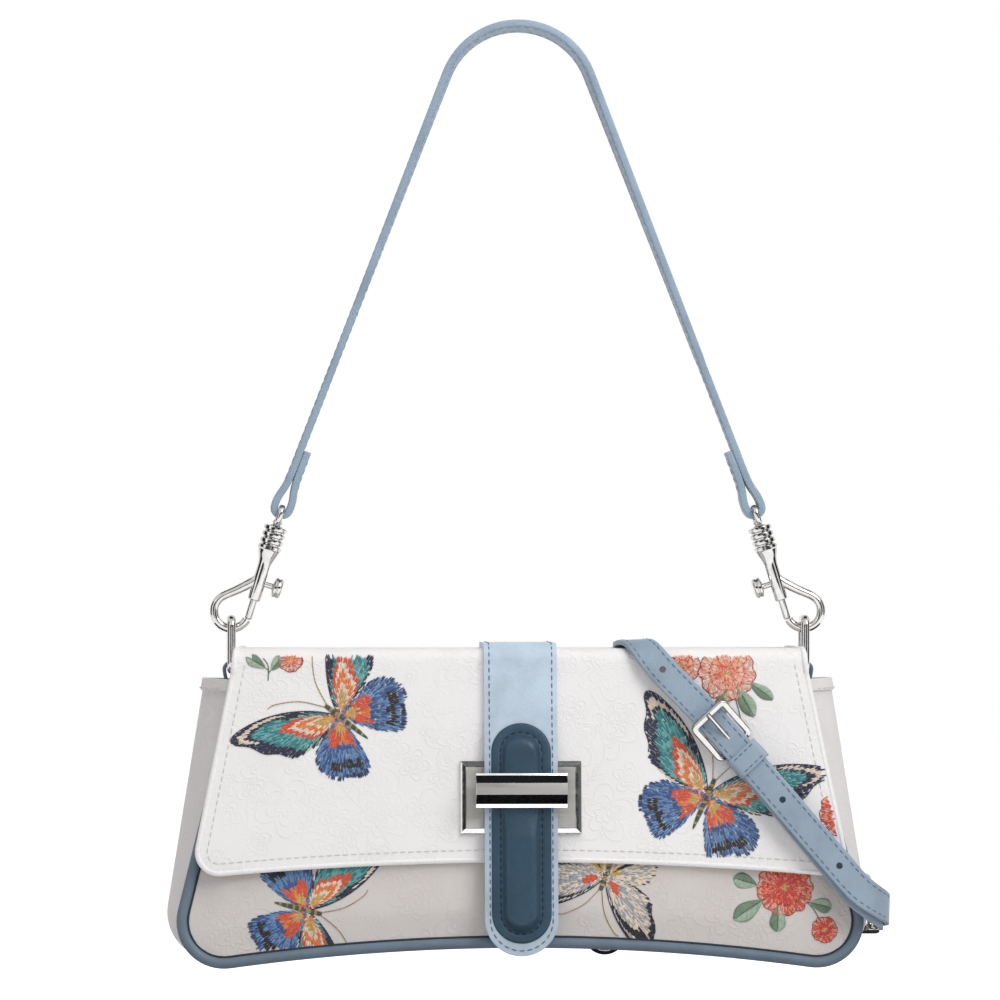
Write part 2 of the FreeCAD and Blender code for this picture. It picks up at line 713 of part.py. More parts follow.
for name, side in (("left", -1), ("right", 1)):
    feature("ring_" + name, ring_shape(), at(side * ring_half, 0, ring_top_level))
    half_turn = turn(Z_AXIS, 0 if side > 0 else 180)
    feature("ring_tab_" + name, tab_shape(),
            FreeCAD.Placement(Vector(side * ring_half, 0, ring_low_level), half_turn))

# Crossbody strap: local +X runs down the slant, +Z across the strap, -Y away from the flap
CROSS = FRONT * FreeCAD.Placement(Vector(s.cross_start_half, -flap_outside, s.cross_start_level),
                                  turn(Y_AXIS, s.cross_slant))
anchor_loop = s.buckle_wire_radius + s.fit_gap + s.anchor_thick
anchor_rise = anchor_loop + s.fit_gap
tail_rise = anchor_rise + anchor_loop + s.fit_gap + s.cross_thick / 2
tip_rise = tail_rise + s.cross_thick / 2 + s.fit_gap + s.buckle_wire_radius
anchor_along = s.buckle_centre + s.buckle_half_length
slant = math.radians(s.cross_slant)
run_way = Vector(math.cos(slant), 0, -math.sin(slant))
run_across = Vector(math.sin(slant), 0, math.cos(slant))
side_x = s.seam_base_half + piping_radius + s.cross_side_gap


def wrapped(first, rise, side_run):
    """Sections of a layer of the strap: along the front, round the right side, back along it."""
    start = Vector(s.cross_start_half, -flap_outside, s.cross_start_level)
    out_front, out_side = -Y_AXIS, X_AXIS
    sections = [(start + run_way * along + out_front * rise, run_across, out_front)
                for along in (first, s.cross_run)]
    leave = start + run_way * s.cross_run
    corner = leave + run_way * ((side_x - leave.x) / run_way.x)
    land = Vector(side_x, leave.y + s.cross_turn, s.cross_side_level)
    steps = 6
    for i in range(1, steps + 1):
        part = i / steps
        base = leave * (1 - part) ** 2 + corner * (2 * part * (1 - part)) + land * part ** 2
        way = ((corner - leave) * (1 - part) + (land - corner) * part).normalize()
        angle = part * math.pi / 2
        out = out_front * math.cos(angle) + out_side * math.sin(angle)
        across = out.cross(way).normalize()
        if across.z < 0:
            across = across * -1
        out = (out - way * out.dot(way)).normalize()
        sections.append((base + out * rise, across, out))
    sections.append((land + Y_AXIS * side_run + out_side * rise, Z_AXIS, out_side))
    return sections


tail = ribbon(wrapped(s.cross_first, tail_rise, s.cross_side_run / 2), s.cross_width, s.cross_thick)
to_front = FRONT.inverse() * CROSS
for i in range(int(s.hole_count)):
    along = s.hole_first + i * s.hole_pitch
    hole = Part.makeCylinder(s.hole_radius, s.cross_thick + s.overrun,
                             Vector(along, -(tail_rise + s.cross_thick / 2 + s.overrun / 2), 0), Y_AXIS)
    hole.Placement = to_front * hole.Placement
    tail = tail.cut(hole)
slot_half = s.prong_radius + s.fit_gap
slot_end = anchor_along + anchor_loop
slot = Part.makeBox(s.prong_slot, s.cross_thick + s.overrun, 2 * slot_half,
                    Vector(slot_end - s.prong_slot,
                           -(tail_rise + s.cross_thick / 2 + s.overrun / 2), -slot_half))
slot.Placement = to_front * slot.Placement
feature("crossbody_strap", tail.cut(slot), FRONT)

anchor = ribbon(wrapped(anchor_along, anchor_rise, s.cross_side_run), s.cross_width, 2 * s.anchor_thick)
loop_base = Vector(anchor_along, -anchor_rise, -s.cross_width / 2)
loop_outer = Part.makeCylinder(anchor_loop, s.cross_width, loop_base, Z_AXIS)
loop_inner = Part.makeCylinder(s.buckle_wire_radius + s.fit_gap, s.cross_width, loop_base, Z_AXIS)
prong_cut = Part.makeBox(s.overrun * 2, 2 * anchor_loop, 2 * slot_half,
                         Vector(anchor_along - s.overrun, -anchor_rise - anchor_loop, -slot_half))
for cutter in (loop_outer, loop_inner, prong_cut):
    cutter.Placement = to_front * cutter.Placement
side_end = wrapped(anchor_along, anchor_rise, s.cross_side_run)[-1][0]
side_inner = s.eye_wire_radius + s.fit_gap
side_eye = side_end + Y_AXIS * (side_inner + s.anchor_thick / 2)
side_base = side_eye - Z_AXIS * (s.cross_width / 2)
side_outer = Part.makeCylinder(side_inner + s.anchor_thick, s.cross_width, side_base, Z_AXIS)
side_hole = Part.makeCylinder(side_inner, s.cross_width, side_base, Z_AXIS)
anchor = anchor.fuse(loop_outer).fuse(side_outer)
for cutter in (loop_inner, prong_cut, side_hole):
    anchor = anchor.cut(cutter)
feature("crossbody_anchor", anchor, FRONT)

# Buckle frame, prong and keeper of the crossbody strap
buckle_turn = math.degrees(math.atan2(tip_rise - anchor_rise, 2 * s.buckle_half_length))
frame_half = math.hypot(tip_rise - anchor_rise, 2 * s.buckle_half_length) / 2
frame_corners = [Vector(side * frame_half, 0, edge * s.buckle_half_width)
                 for side, edge in ((-1, -1), (1, -1), (1, 1), (-1, 1))]
frame_path = rounded_path(frame_corners, [s.buckle_corner] * len(frame_corners), closed=True)
BUCKLE = CROSS * FreeCAD.Placement(Vector(s.buckle_centre, -(tip_rise + anchor_rise) / 2, 0),
                                   turn(Z_AXIS, buckle_turn))
feature("crossbody_buckle", tube(frame_path, s.buckle_wire_radius,
                                 Vector(0, 0, -s.buckle_half_width), X_AXIS), BUCKLE)
prong_lift = s.buckle_wire_radius + s.fit_gap + s.prong_radius
prong_bore = s.buckle_wire_radius + s.turn_gap
prong_root = Part.makeCylinder(prong_bore + s.prong_root_thick, 2 * s.prong_radius,
                               Vector(frame_half, 0, -s.prong_radius), Z_AXIS)
prong_bar = Part.makeCylinder(s.prong_radius, 2 * frame_half + s.buckle_wire_radius,
                              Vector(-frame_half - s.buckle_wire_radius, -prong_lift, 0), X_AXIS)
prong_hole = Part.makeCylinder(prong_bore, s.overrun, Vector(frame_half, 0, -s.overrun / 2), Z_AXIS)
feature("crossbody_prong", prong_root.fuse(prong_bar).cut(prong_hole), BUCKLE)

keeper_low = anchor_rise - s.anchor_thick - s.fit_gap
keeper_high = tail_rise + s.cross_thick / 2 + s.fit_gap
keeper_half = s.cross_width / 2 + s.fit_gap
keeper_outer = Part.makeBox(s.keeper_length, keeper_high - keeper_low + 2 * s.keeper_thick,
                            2 * (keeper_half + s.keeper_thick),
                            Vector(s.keeper_centre - s.keeper_length / 2, -keeper_high - s.keeper_thick,
                                   -keeper_half - s.keeper_thick))
keeper_inner = Part.makeBox(s.keeper_length, keeper_high - keeper_low, 2 * keeper_half,
                            Vector(s.keeper_centre - s.keeper_length / 2, -keeper_high, -keeper_half))
feature("crossbody_keeper", keeper_outer.cut(keeper_inner), CROSS)

# Put-away length: over the lid, down the back and folded to and fro behind the back panel
hank_first = s.flap_lining_thick + s.flap_thick + s.fit_gap + s.cross_thick / 2
lid_rise = closure_lid_level + s.fit_gap + s.cross_thick / 2
to_back = BACK.inverse() * BAG
lid_start = to_back.multVec(Vector(0, lid_front, lid_rise))
lid_way = to_back.Rotation.multVec(Y_AXIS)
lid_corner = lid_start + lid_way * ((hank_first - lid_start.y) / lid_way.y)
hank_points = [lid_start, lid_corner]
hank_radii = [0, s.hank_bend]
for i in range(int(s.hank_runs)):
    deep = hank_first + i * s.hank_pitch
    ends = (s.hank_high, s.hank_low) if i % 2 == 0 else (s.hank_low, s.hank_high)
    if i > 0:
        hank_points.append(Vector(0, deep, ends[0]))
        hank_radii.append(s.hank_pitch / 2)
    hank_points.append(Vector(0, deep, ends[1]))
    hank_radii.append(s.hank_pitch / 2)
last_deep = hank_first + (s.hank_runs - 1) * s.hank_pitch
hank_path = rounded_path(hank_points, hank_radii)
hank_dots = hank_path.discretize(Distance=s.hank_pitch / 4)
half_turn = math.ceil(2 * math.pi)
hank_gap = min((dot - other).Length for i, dot in enumerate(hank_dots)
               for other in hank_dots[i + half_turn:]) - s.cross_thick
hank = band(hank_path, lid_start, lid_way, X_AXIS, s.cross_width, s.cross_thick)
hank_eye = Vector(0, last_deep, s.hank_low - s.eye_wire_radius - s.fit_gap - s.cross_thick / 2)
hank_fold_inner = s.eye_wire_radius + s.fit_gap
hank_start = hank_eye - X_AXIS * (s.cross_width / 2)
hank_fold = Part.makeCylinder(hank_fold_inner + s.cross_thick, s.cross_width, hank_start, X_AXIS)
hank_hole = Part.makeCylinder(hank_fold_inner, s.cross_width, hank_start, X_AXIS)
HANK = BACK * at(s.hank_half, 0, 0)
feature("crossbody_hank", hank.fuse(hank_fold).cut(hank_hole), HANK)
tie_half = s.cross_width / 2 + s.fit_gap
tie_near = hank_first - s.cross_thick / 2 - s.fit_gap
tie_far = last_deep + s.cross_thick / 2 + s.fit_gap
tie_level = (s.hank_high + s.hank_low) / 2
tie_low = tie_level - s.tie_width / 2
tie_outer = Part.makeBox(2 * (tie_half + s.tie_thick), tie_far - tie_near + 2 * s.tie_thick, s.tie_width,
                         Vector(-tie_half - s.tie_thick, tie_near - s.tie_thick, tie_low))
tie_inner = Part.makeBox(2 * tie_half, tie_far - tie_near, s.tie_width,
                         Vector(-tie_half, tie_near, tie_low))
feature("hank_tie", tie_outer.cut(tie_inner), HANK)
hook_set("hank", HANK * FreeCAD.Placement(hank_eye, turn(Z_AXIS, 90)), 90)

# End hook of the short anchor strap, lying back along the right side
SIDE = FRONT * FreeCAD.Placement(side_eye, FreeCAD.Rotation(X_AXIS, Z_AXIS, -Y_AXIS))
hook_set("side", SIDE, 90)

doc.recompute()
for item in doc.Objects:
    if "Invalid" in item.State or "Error" in item.State:
        raise RuntimeError("%s did not compute: %s" % (item.Label, item.State))
os.makedirs("parts", exist_ok=True)
for piece in PIECES:
    if piece.Shape.isNull() or not piece.Shape.isValid():
        raise RuntimeError("%s has no valid shape" % piece.Label)
    piece.Shape.exportStep("parts/%s.step" % piece.Label)
    print("%-20s %2d solid  %9.1f mm3" % (piece.Label, len(piece.Shape.Solids), piece.Shape.Volume))
print("swing axis z %.2f, ring x %.2f, fold y %.2f z %.2f, base z %.2f" % (
    swing_level, ring_half, fold_y, BAG.Base.z + fold_level, BAG.Base.z))
print("hank least gap to itself %.2f mm, tab reach %.2f mm" % (hank_gap, tab_reach))
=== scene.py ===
# %% [markdown]
# A flap baguette bag hanging by its shoulder strap. The hard model, with its joints, is made before this, and this
# lesson dresses it: cloth, leather, metal and thread are modelled here round that frame, in the same place and size.
# Sizes below are in millimetres, as on a maker's drawing, and become metres when a mesh is written.

# %% Load the imported frame
import math
import random
import bpy
import numpy as np
from mathutils import Matrix, Quaternion, Vector
from mathutils.bvhtree import BVHTree


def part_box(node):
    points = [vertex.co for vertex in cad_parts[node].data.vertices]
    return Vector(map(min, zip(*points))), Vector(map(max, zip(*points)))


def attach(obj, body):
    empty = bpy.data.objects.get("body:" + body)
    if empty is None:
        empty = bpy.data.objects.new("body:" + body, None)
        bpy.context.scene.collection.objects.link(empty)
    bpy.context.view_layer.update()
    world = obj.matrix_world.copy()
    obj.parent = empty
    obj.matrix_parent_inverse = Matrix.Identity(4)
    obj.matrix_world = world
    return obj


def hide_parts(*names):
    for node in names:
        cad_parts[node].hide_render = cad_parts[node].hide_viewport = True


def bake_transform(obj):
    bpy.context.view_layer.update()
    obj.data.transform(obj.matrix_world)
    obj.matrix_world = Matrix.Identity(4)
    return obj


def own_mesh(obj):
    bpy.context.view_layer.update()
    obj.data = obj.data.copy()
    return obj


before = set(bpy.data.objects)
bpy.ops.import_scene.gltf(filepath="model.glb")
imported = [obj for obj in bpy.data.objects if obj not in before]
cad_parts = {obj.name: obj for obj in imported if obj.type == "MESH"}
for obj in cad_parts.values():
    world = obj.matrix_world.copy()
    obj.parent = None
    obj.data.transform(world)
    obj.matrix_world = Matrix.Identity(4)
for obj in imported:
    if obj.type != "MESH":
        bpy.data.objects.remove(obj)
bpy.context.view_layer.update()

MM = 0.001

# %% [markdown]
# The picture is a front view on white, taken from a touch to the left. A long lens far back keeps the bag flat, as a
# catalogue picture does. The camera is aimed at a point in the middle of the bag and its strap.

# %% Camera
scene = bpy.context.scene
scene.view_settings.view_transform = "Standard"
VIEW_DISTANCE, VIEW_FIELD, VIEW_TURN = 4.000, 0.4046, math.radians(2.5)
VIEW_TARGET, FACE_DEPTH = Vector((-0.0073, 0.0, -0.1872)), 0.022
camera_data = bpy.data.cameras.new("camera")
camera = bpy.data.objects.new("camera", camera_data)
scene.collection.objects.link(camera)
scene.camera = camera
view_way = Vector((math.sin(VIEW_TURN), math.cos(VIEW_TURN), 0))
camera.location = VIEW_TARGET - (VIEW_DISTANCE + FACE_DEPTH) * view_way
camera.rotation_euler = (math.pi / 2, 0, -VIEW_TURN)
camera_data.angle = 2 * math.atan(VIEW_FIELD / 2 / VIEW_DISTANCE)
print("camera at", tuple(round(value, 3) for value in camera.location))

# %% [markdown]
# Materials are drawn as nodes. A few small tools keep that short: one adds a node and links whatever sockets it is
# given, one does a step of arithmetic, and one starts a material with its colour, roughness and metal.


# %% Tools for nodes
def fill(tree, socket, value):
    """Link another node's socket, or set a plain value."""
    if isinstance(value, bpy.types.NodeSocket):
        tree.links.new(value, socket)
    else:
        socket.default_value = value


def add_node(tree, kind, **values):
    """A shader node with its sockets and settings filled in by name."""
    item = tree.nodes.new("ShaderNode" + kind)
    for key, value in values.items():
        if key in item.inputs:
            fill(tree, item.inputs[key], value)
        else:
            setattr(item, key, value)
    return item


def fed(tree, kind, *inputs, **settings):
    """The first output of a node whose sockets are filled in turn."""
    item = add_node(tree, kind, **settings)
    for socket, value in zip(item.inputs, inputs):
        fill(tree, socket, value)
    return item.outputs[0]


def sums(tree, operation, first, second=0.0):
    """One step of arithmetic on sockets or plain numbers."""
    return fed(tree, "Math", first, second, operation=operation)


def seen_directly(tree):
    """One where the camera, a mirror or glass looks straight at the surface."""
    path = add_node(tree, "LightPath").outputs
    seen = sums(tree, "MAXIMUM", path["Is Camera Ray"], path["Is Glossy Ray"])
    return sums(tree, "MAXIMUM", seen, path["Is Transmission Ray"])


def new_material(name, colour, roughness, metallic=0.0):
    """A material, its node tree and its main shader."""
    mat = bpy.data.materials.new(name)
    mat.use_nodes = True
    shader = mat.node_tree.nodes["Principled BSDF"]
    shader.inputs["Base Color"].default_value = (*colour, 1)
    shader.inputs["Roughness"].default_value = roughness
    shader.inputs["Metallic"].default_value = metallic
    return mat, mat.node_tree, shader


def primitive(kind, name, **settings):
    """Add a primitive with nothing else selected, and name it."""
    bpy.ops.object.select_all(action="DESELECT")
    getattr(bpy.ops.mesh, "primitive_" + kind + "_add")(**settings)
    obj = bpy.context.object
    obj.name = obj.data.name = name
    return obj


print("tools for nodes ready")

# %% [markdown]
# The world is white where the camera and the metal look at it, and dimmer as a light, so that white cloth keeps its
# shade. Dark cards stand round the bag, seen only in reflections, and give the polished metal something to mirror, as
# a photographer would do.

# %% Floor, cards and light
ROOM_LIGHT, FLOOR_LEVEL, FLOOR_GLOW = 0.33, -0.402, 0.75
world = bpy.data.worlds.new("studio")
scene.world = world
world.use_nodes = True
sky = world.node_tree
room = sky.nodes["Background"]
room.inputs["Color"].default_value = (1.0, 0.99, 0.98, 1)
room.inputs["Strength"].default_value = ROOM_LIGHT
white = add_node(sky, "Background", Color=(1, 1, 1, 1), Strength=1.0)
pick = fed(sky, "MixShader", seen_directly(sky), room.outputs[0], white.outputs[0])
sky.links.new(pick, sky.nodes["World Output"].inputs["Surface"])

floor = primitive("plane", "floor", size=9, location=(0, 0, FLOOR_LEVEL))
pale, ground, matt = new_material("pale_floor", (0.9, 0.9, 0.9), 0.9)
glow_level = sums(ground, "MULTIPLY", seen_directly(ground), FLOOR_GLOW)
glow = add_node(ground, "Emission", Color=(1, 1, 1, 1), Strength=glow_level)
both_lights = fed(ground, "AddShader", matt.outputs[0], glow.outputs[0])
ground.links.new(both_lights, ground.nodes["Material Output"].inputs["Surface"])
floor.data.materials.append(pale)

CARDS = (("left", (-0.75, -1.3, -0.25), (0.9, 1.0), (90, 0, -28), 0.03),
         ("right", (0.75, -1.3, -0.25), (0.9, 1.0), (90, 0, 28), 0.03),
         ("far_left", (-0.95, 0.0, -0.2), (0.7, 0.9), (90, 0, -90), 0.02),
         ("far_right", (0.95, 0.0, -0.2), (0.7, 0.9), (90, 0, 90), 0.02),
         ("middle", (0.0, -2.2, 0.10), (2.4, 0.5), (80, 0, 0), 0.28),
         ("ceiling", (0.0, 0.36, 0.95), (1.6, 1.0), (-15, 0, 0), 0.03),
         ("lower", (0.0, 0.05, -0.399), (0.7, 0.31), (0, 0, 0), 0.04))
for name, place, size, turn, shade in CARDS:
    card = primitive("plane", "card_" + name, size=1.0, location=place)
    card.rotation_euler = [math.radians(angle) for angle in turn]
    card.scale = (*size, 1)
    card.visible_camera = card.visible_diffuse = card.visible_shadow = False
    card.data.materials.append(new_material("card_paper_" + name, (shade, shade, shade), 1.0)[0])

LIGHT_TARGET = Vector((0, 0, -0.25))
LAMPS = (("key", (0.95, -1.1, 0.85), 0.9, 14.2), ("fill", (-1.2, -1.1, 0.1), 1.1, 1.9),
         ("top", (0.0, -0.45, 1.1), 0.6, 7.0))
for name, place, size, watts in LAMPS:
    lamp = bpy.data.lights.new(name, "AREA")
    lamp.size = size
    lamp.energy = watts
    holder = bpy.data.objects.new(name, lamp)
    scene.collection.objects.link(holder)
    holder.location = place
    holder.visible_glossy = name != "top"
    holder.rotation_euler = (LIGHT_TARGET - Vector(place)).to_track_quat("-Z", "Y").to_euler()
print("floor,", len(CARDS), "cards and", len(LAMPS), "lamps set")

# %% [markdown]
# The bag leans in towards its mouth, so most pieces are drawn on its leaning front or back: across, out from the
# panel, and up along it. These few places are the ones that the hard model is drawn with.

# %% Places on the bag
BASE_DEPTH, TOP_DEPTH, PANEL_HEIGHT = 62.0, 36.0, 126.0
BAG_Y, BAG_Z = 3.6, -376.082
LEAN = math.asin((BASE_DEPTH - TOP_DEPTH) / 2 / PANEL_HEIGHT)
BAG_TOP = PANEL_HEIGHT * math.cos(LEAN)
EYE_HALF, EYE_LEVEL, HOOK_TILT = 96.0, -190.387, math.radians(17.0)
RING_HALF, RING_LOW = 116.584, -256.055
FRONT = Matrix.Translation((0, BAG_Y - BASE_DEPTH / 2, BAG_Z)) @ Matrix.Rotation(-LEAN, 4, "X")
BACK = Matrix.Translation((0, BAG_Y + BASE_DEPTH / 2, BAG_Z)) @ Matrix.Rotation(LEAN, 4, "X")
FRONT_OUT = np.array([0, -math.cos(LEAN), math.sin(LEAN)])


def front(x, out, up):
    """Points on the leaning front: across, out from the panel, up along it."""
    x, out, up = np.broadcast_arrays(x, out, up)
    y = BAG_Y - BASE_DEPTH / 2 - out * math.cos(LEAN) + up * math.sin(LEAN)
    return np.stack([x, y, BAG_Z + out * math.sin(LEAN) + up * math.cos(LEAN)], -1)


def back(x, out, up):
    """Points on the leaning back, counted the same way."""
    x, out, up = np.broadcast_arrays(x, out, up)
    y = BAG_Y + BASE_DEPTH / 2 + out * math.cos(LEAN) - up * math.sin(LEAN)
    return np.stack([x, y, BAG_Z + out * math.sin(LEAN) + up * math.cos(LEAN)], -1)


print("panels lean", round(math.degrees(LEAN), 1), "degrees")

# %% [markdown]
# A panel's edge is a leaning side, a round corner and an arched foot. It is worked out for the right half and mirrored,
# at any margin in from the seam, so that the cloth, its piping and its stitches all run side by side. A net of points
# between the four sides of that edge fills the panel.

# %% Edges and nets of panels
LEG_POINTS, CORNER_POINTS, FOOT_POINTS = 33, 17, 41
# Each form: half width and height at the top, the same at the base, corner radius, arch's half width, foot and rise.
SEAM = (111.0, PANEL_HEIGHT, 136.0, 25.0, 17.0, 115.0, 2.4, 7.7)
MIDDLE = (126.8, PANEL_HEIGHT, 143.2, 25.0, 20.0, 115.0, 2.4, 7.7)
FLAP = (115.6, PANEL_HEIGHT, 131.6, 47.0, 9.5, 121.0, 37.0, 5.5)
MIRROR = np.array([-1, 1])


def edge_parts(top_half, top, base_half, base, radius, foot_half, foot, rise, inset, cut):
    """The right half of a panel edge set in by a margin: leaning side, round corner, arched foot."""
    low = np.array([base_half, base])
    along = np.array([top_half, top]) - low
    along /= np.linalg.norm(along)
    out = np.array([along[1], -along[0]])
    arch = (foot_half ** 2 + rise ** 2) / (2 * rise)
    arch_centre = np.array([0.0, foot + rise - arch])
    away = low - out * radius - arch_centre
    step = away @ along
    reach = math.sqrt(step ** 2 - away @ away + (arch + radius) ** 2)
    centre = low - out * radius + along * (reach - step)
    down = (arch_centre - centre) / np.linalg.norm(arch_centre - centre)
    line = low - out * inset
    high = line + along * ((cut - line[1]) / along[1])
    turn = np.linspace(0, math.acos(out @ down), CORNER_POINTS)[:, None]
    side = (down - out * (out @ down)) / np.linalg.norm(down - out * (out @ down))
    corner = centre + (out * np.cos(turn) + side * np.sin(turn)) * (radius - inset)
    start = math.atan2(corner[-1][0] - arch_centre[0], corner[-1][1] - arch_centre[1])
    sweep = np.linspace(start, 0, FOOT_POINTS)[:, None]
    foot_line = arch_centre + np.hstack([np.sin(sweep), np.cos(sweep)]) * (arch + inset)
    leg = high + (corner[0] - high) * np.linspace(0, 1, LEG_POINTS)[:, None]
    return leg, corner, foot_line


def whole_edge(form, inset, cut):
    """The edge from its right top, down round the foot and up to its left top."""
    leg, corner, foot_line = edge_parts(*form, inset, cut)
    right = np.vstack([leg[:-1], corner[:-1], foot_line])
    return np.vstack([right, (right[::-1] * MIRROR)[1:]])


def ways(line):
    """How far along a line each of its points is."""
    return np.concatenate([[0], np.cumsum(np.linalg.norm(np.diff(line, axis=0), axis=1))])


def along_line(way, values, there):
    """Values given at the points of a line, read at other distances along it."""
    return np.stack([np.interp(there, way, values[:, k]) for k in range(values.shape[1])], -1)


def spaced(line, count):
    """The same line as evenly spaced points."""
    line = np.asarray(line, float)
    way = ways(line)
    return along_line(way, line, np.linspace(0, way[-1], count))


def panel_net(form, inset, cut, columns, rows):
    """A net of points that fills a panel, its corners on the middle of the round corners."""
    leg, corner, foot_line = edge_parts(*form, inset, cut)
    half = CORNER_POINTS // 2
    right = spaced(np.vstack([leg[:-1], corner[:half + 1]]), rows)
    half_foot = np.vstack([corner[half:-1], foot_line])
    foot = spaced(np.vstack([half_foot[:-1] * MIRROR, half_foot[::-1]]), columns)
    left = right * MIRROR
    top = spaced(np.array([left[0], right[0]]), columns)
    u = np.linspace(0, 1, columns)[None, :, None]
    v = np.linspace(0, 1, rows)[:, None, None]
    net = (1 - v) * top[None] + v * foot[None] + (1 - u) * left[:, None] + u * right[:, None]
    net -= (1 - v) * ((1 - u) * top[0] + u * top[-1]) + v * ((1 - u) * foot[0] + u * foot[-1])
    return net


print("panel foot", whole_edge(SEAM, 0, PANEL_HEIGHT)[:, 1].min(), "flap foot", whole_edge(FLAP, 0, 120)[:, 1].min())

# %% [markdown]
# Cloth and leather both start flat. A grid is added, its points are moved to the shape, and then it is thickened and
# its edges are softened, which is how a panel is cut, bent and edged. The grid's flat map keeps the cloth's own
# measure, so that a weave lies along the cloth whichever way the panel faces.


# %% Tools for flat pieces
def only(obj):
    """Select one object and nothing else."""
    bpy.ops.object.select_all(action="DESELECT")
    obj.select_set(True)
    bpy.context.view_layer.objects.active = obj


def finish_with(obj, kind, **settings):
    """Add a modifier and apply it."""
    only(obj)
    modifier = obj.modifiers.new(kind.lower(), kind)
    for key, value in settings.items():
        setattr(modifier, key, value)
    bpy.ops.object.modifier_apply(modifier=modifier.name)
    return obj


def flat_piece(name, points, flat=None):
    """A grid whose rows and columns are moved to the points given, in millimetres."""
    rows, columns = points.shape[:2]
    obj = primitive("grid", name, x_subdivisions=columns - 1, y_subdivisions=rows - 1, size=1)
    mesh = obj.data
    here = np.empty(len(mesh.vertices) * 3)
    mesh.vertices.foreach_get("co", here)
    here = here.reshape(-1, 3)
    column = np.rint((here[:, 0] + 0.5) * (columns - 1)).astype(int)
    row = np.rint((0.5 - here[:, 1]) * (rows - 1)).astype(int)
    mesh.vertices.foreach_set("co", (points[row, column] * MM).ravel())
    if flat is not None:
        corner = np.empty(len(mesh.loops), int)
        mesh.loops.foreach_get("vertex_index", corner)
        mesh.uv_layers[0].data.foreach_set("uv", (flat[row, column] * MM)[corner].ravel())
    mesh.update()
    return obj


def smooth(obj, degrees=40):
    """Shade softly, with creases where faces meet at more than an angle."""
    only(obj)
    bpy.ops.object.shade_smooth_by_angle(angle=math.radians(degrees))
    return obj


def bevelled(obj, width, segments, degrees):
    """Round off the edges that are sharper than an angle."""
    return finish_with(obj, "BEVEL", width=width, segments=segments, limit_method="ANGLE",
                       angle_limit=math.radians(degrees))


def thicken(obj, thick, offset=0.0, soften=0.35, segments=2, rim=0):
    """Give a sheet its thickness and round off its cut edge."""
    finish_with(obj, "SOLIDIFY", thickness=thick * MM, offset=offset, use_even_offset=True, material_offset_rim=rim)
    if soften:
        bevelled(obj, soften * MM, segments, 50)
    return smooth(obj)


print("tools for flat pieces ready")

# %% [markdown]
# A piece may be joined from several parts, edited as a whole and given its materials. Each finished piece is then put
# with the body that it moves with, and the hard nodes that it takes the place of are hidden.


# %% Tools for finished pieces
def join(name, parts):
    """Several objects made one."""
    bpy.ops.object.select_all(action="DESELECT")
    for part in parts:
        part.select_set(True)
    bpy.context.view_layer.objects.active = parts[0]
    bpy.ops.object.join()
    obj = bpy.context.object
    obj.name = obj.data.name = name
    return obj


def edit_all(obj):
    """Enter edit mode with everything selected."""
    only(obj)
    bpy.ops.object.mode_set(mode="EDIT")
    bpy.ops.mesh.select_all(action="SELECT")


def leave_outwards():
    """Turn all faces outwards and leave edit mode."""
    bpy.ops.mesh.select_all(action="SELECT")
    bpy.ops.mesh.normals_make_consistent(inside=False)
    bpy.ops.object.mode_set(mode="OBJECT")


def from_points(name, points, edges, faces):
    """A new object of points, edges and faces."""
    mesh = bpy.data.meshes.new(name)
    mesh.from_pydata(points, edges, faces)
    obj = bpy.data.objects.new(name, mesh)
    scene.collection.objects.link(obj)
    return obj


def paint(obj, *materials):
    """Give a piece its materials."""
    obj.data.materials.clear()
    for item in materials:
        obj.data.materials.append(item)
    return obj


def stands_for(piece, slot=None, *nodes):
    """Hide the hard nodes that a piece takes the place of."""
    if nodes:
        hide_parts(*nodes)
    return piece


def rides(piece, body, slot=None, *nodes):
    """A piece that moves with one body."""
    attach(piece, body)
    return stands_for(piece, slot, *nodes)


print("tools for finished pieces ready")

# %% [markdown]
# Straps and cords follow a line. The line is straight runs with round bends or a smooth flow through a few points. A
# strap is a grid bent along it, and a cord is a curve with a round section, made a mesh.


# %% Tools for straps and cords
def rounded_line(points, radii, step):
    """Straight runs joined by round bends, as points about a step apart."""
    points = [Vector(p) for p in points]
    line = [points[0]]
    for i in range(1, len(points) - 1):
        to_last = (points[i - 1] - points[i]).normalized()
        to_next = (points[i + 1] - points[i]).normalized()
        half = to_last.angle(to_next) / 2
        middle = points[i] + (to_last + to_next).normalized() * (radii[i] / math.sin(half))
        start = points[i] + to_last * (radii[i] / math.tan(half)) - middle
        axis = start.cross(points[i] - middle).normalized()
        bend = math.pi - 2 * half
        count = max(3, math.ceil(bend * radii[i] / step))
        line += [middle + Quaternion(axis, bend * k / count) @ start for k in range(count + 1)]
    line.append(points[-1])
    line = np.array([tuple(p) for p in line])
    return spaced(line, max(3, int(ways(line)[-1] / step) + 1))


def smooth_line(points, step):
    """A line that flows through the points given."""
    points = np.asarray(points, float)
    ends = np.vstack([2 * points[0] - points[1], points, 2 * points[-1] - points[-2]])
    t = np.linspace(0, 1, 24, endpoint=False)[:, None]
    dense = [0.5 * (2 * b + (c - a) * t + (2 * a - 5 * b + 4 * c - d) * t ** 2 + (3 * b - a - 3 * c + d) * t ** 3)
             for a, b, c, d in zip(ends[:-3], ends[1:-2], ends[2:-1], ends[3:])]
    line = np.vstack(dense + [points[-1:]])
    return spaced(line, max(3, int(ways(line)[-1] / step) + 1))


def square_to(rows, along):
    """Directions turned square to others and made one long."""
    rows = rows - along * (rows * along).sum(1)[:, None]
    return rows / np.linalg.norm(rows, axis=1)[:, None]


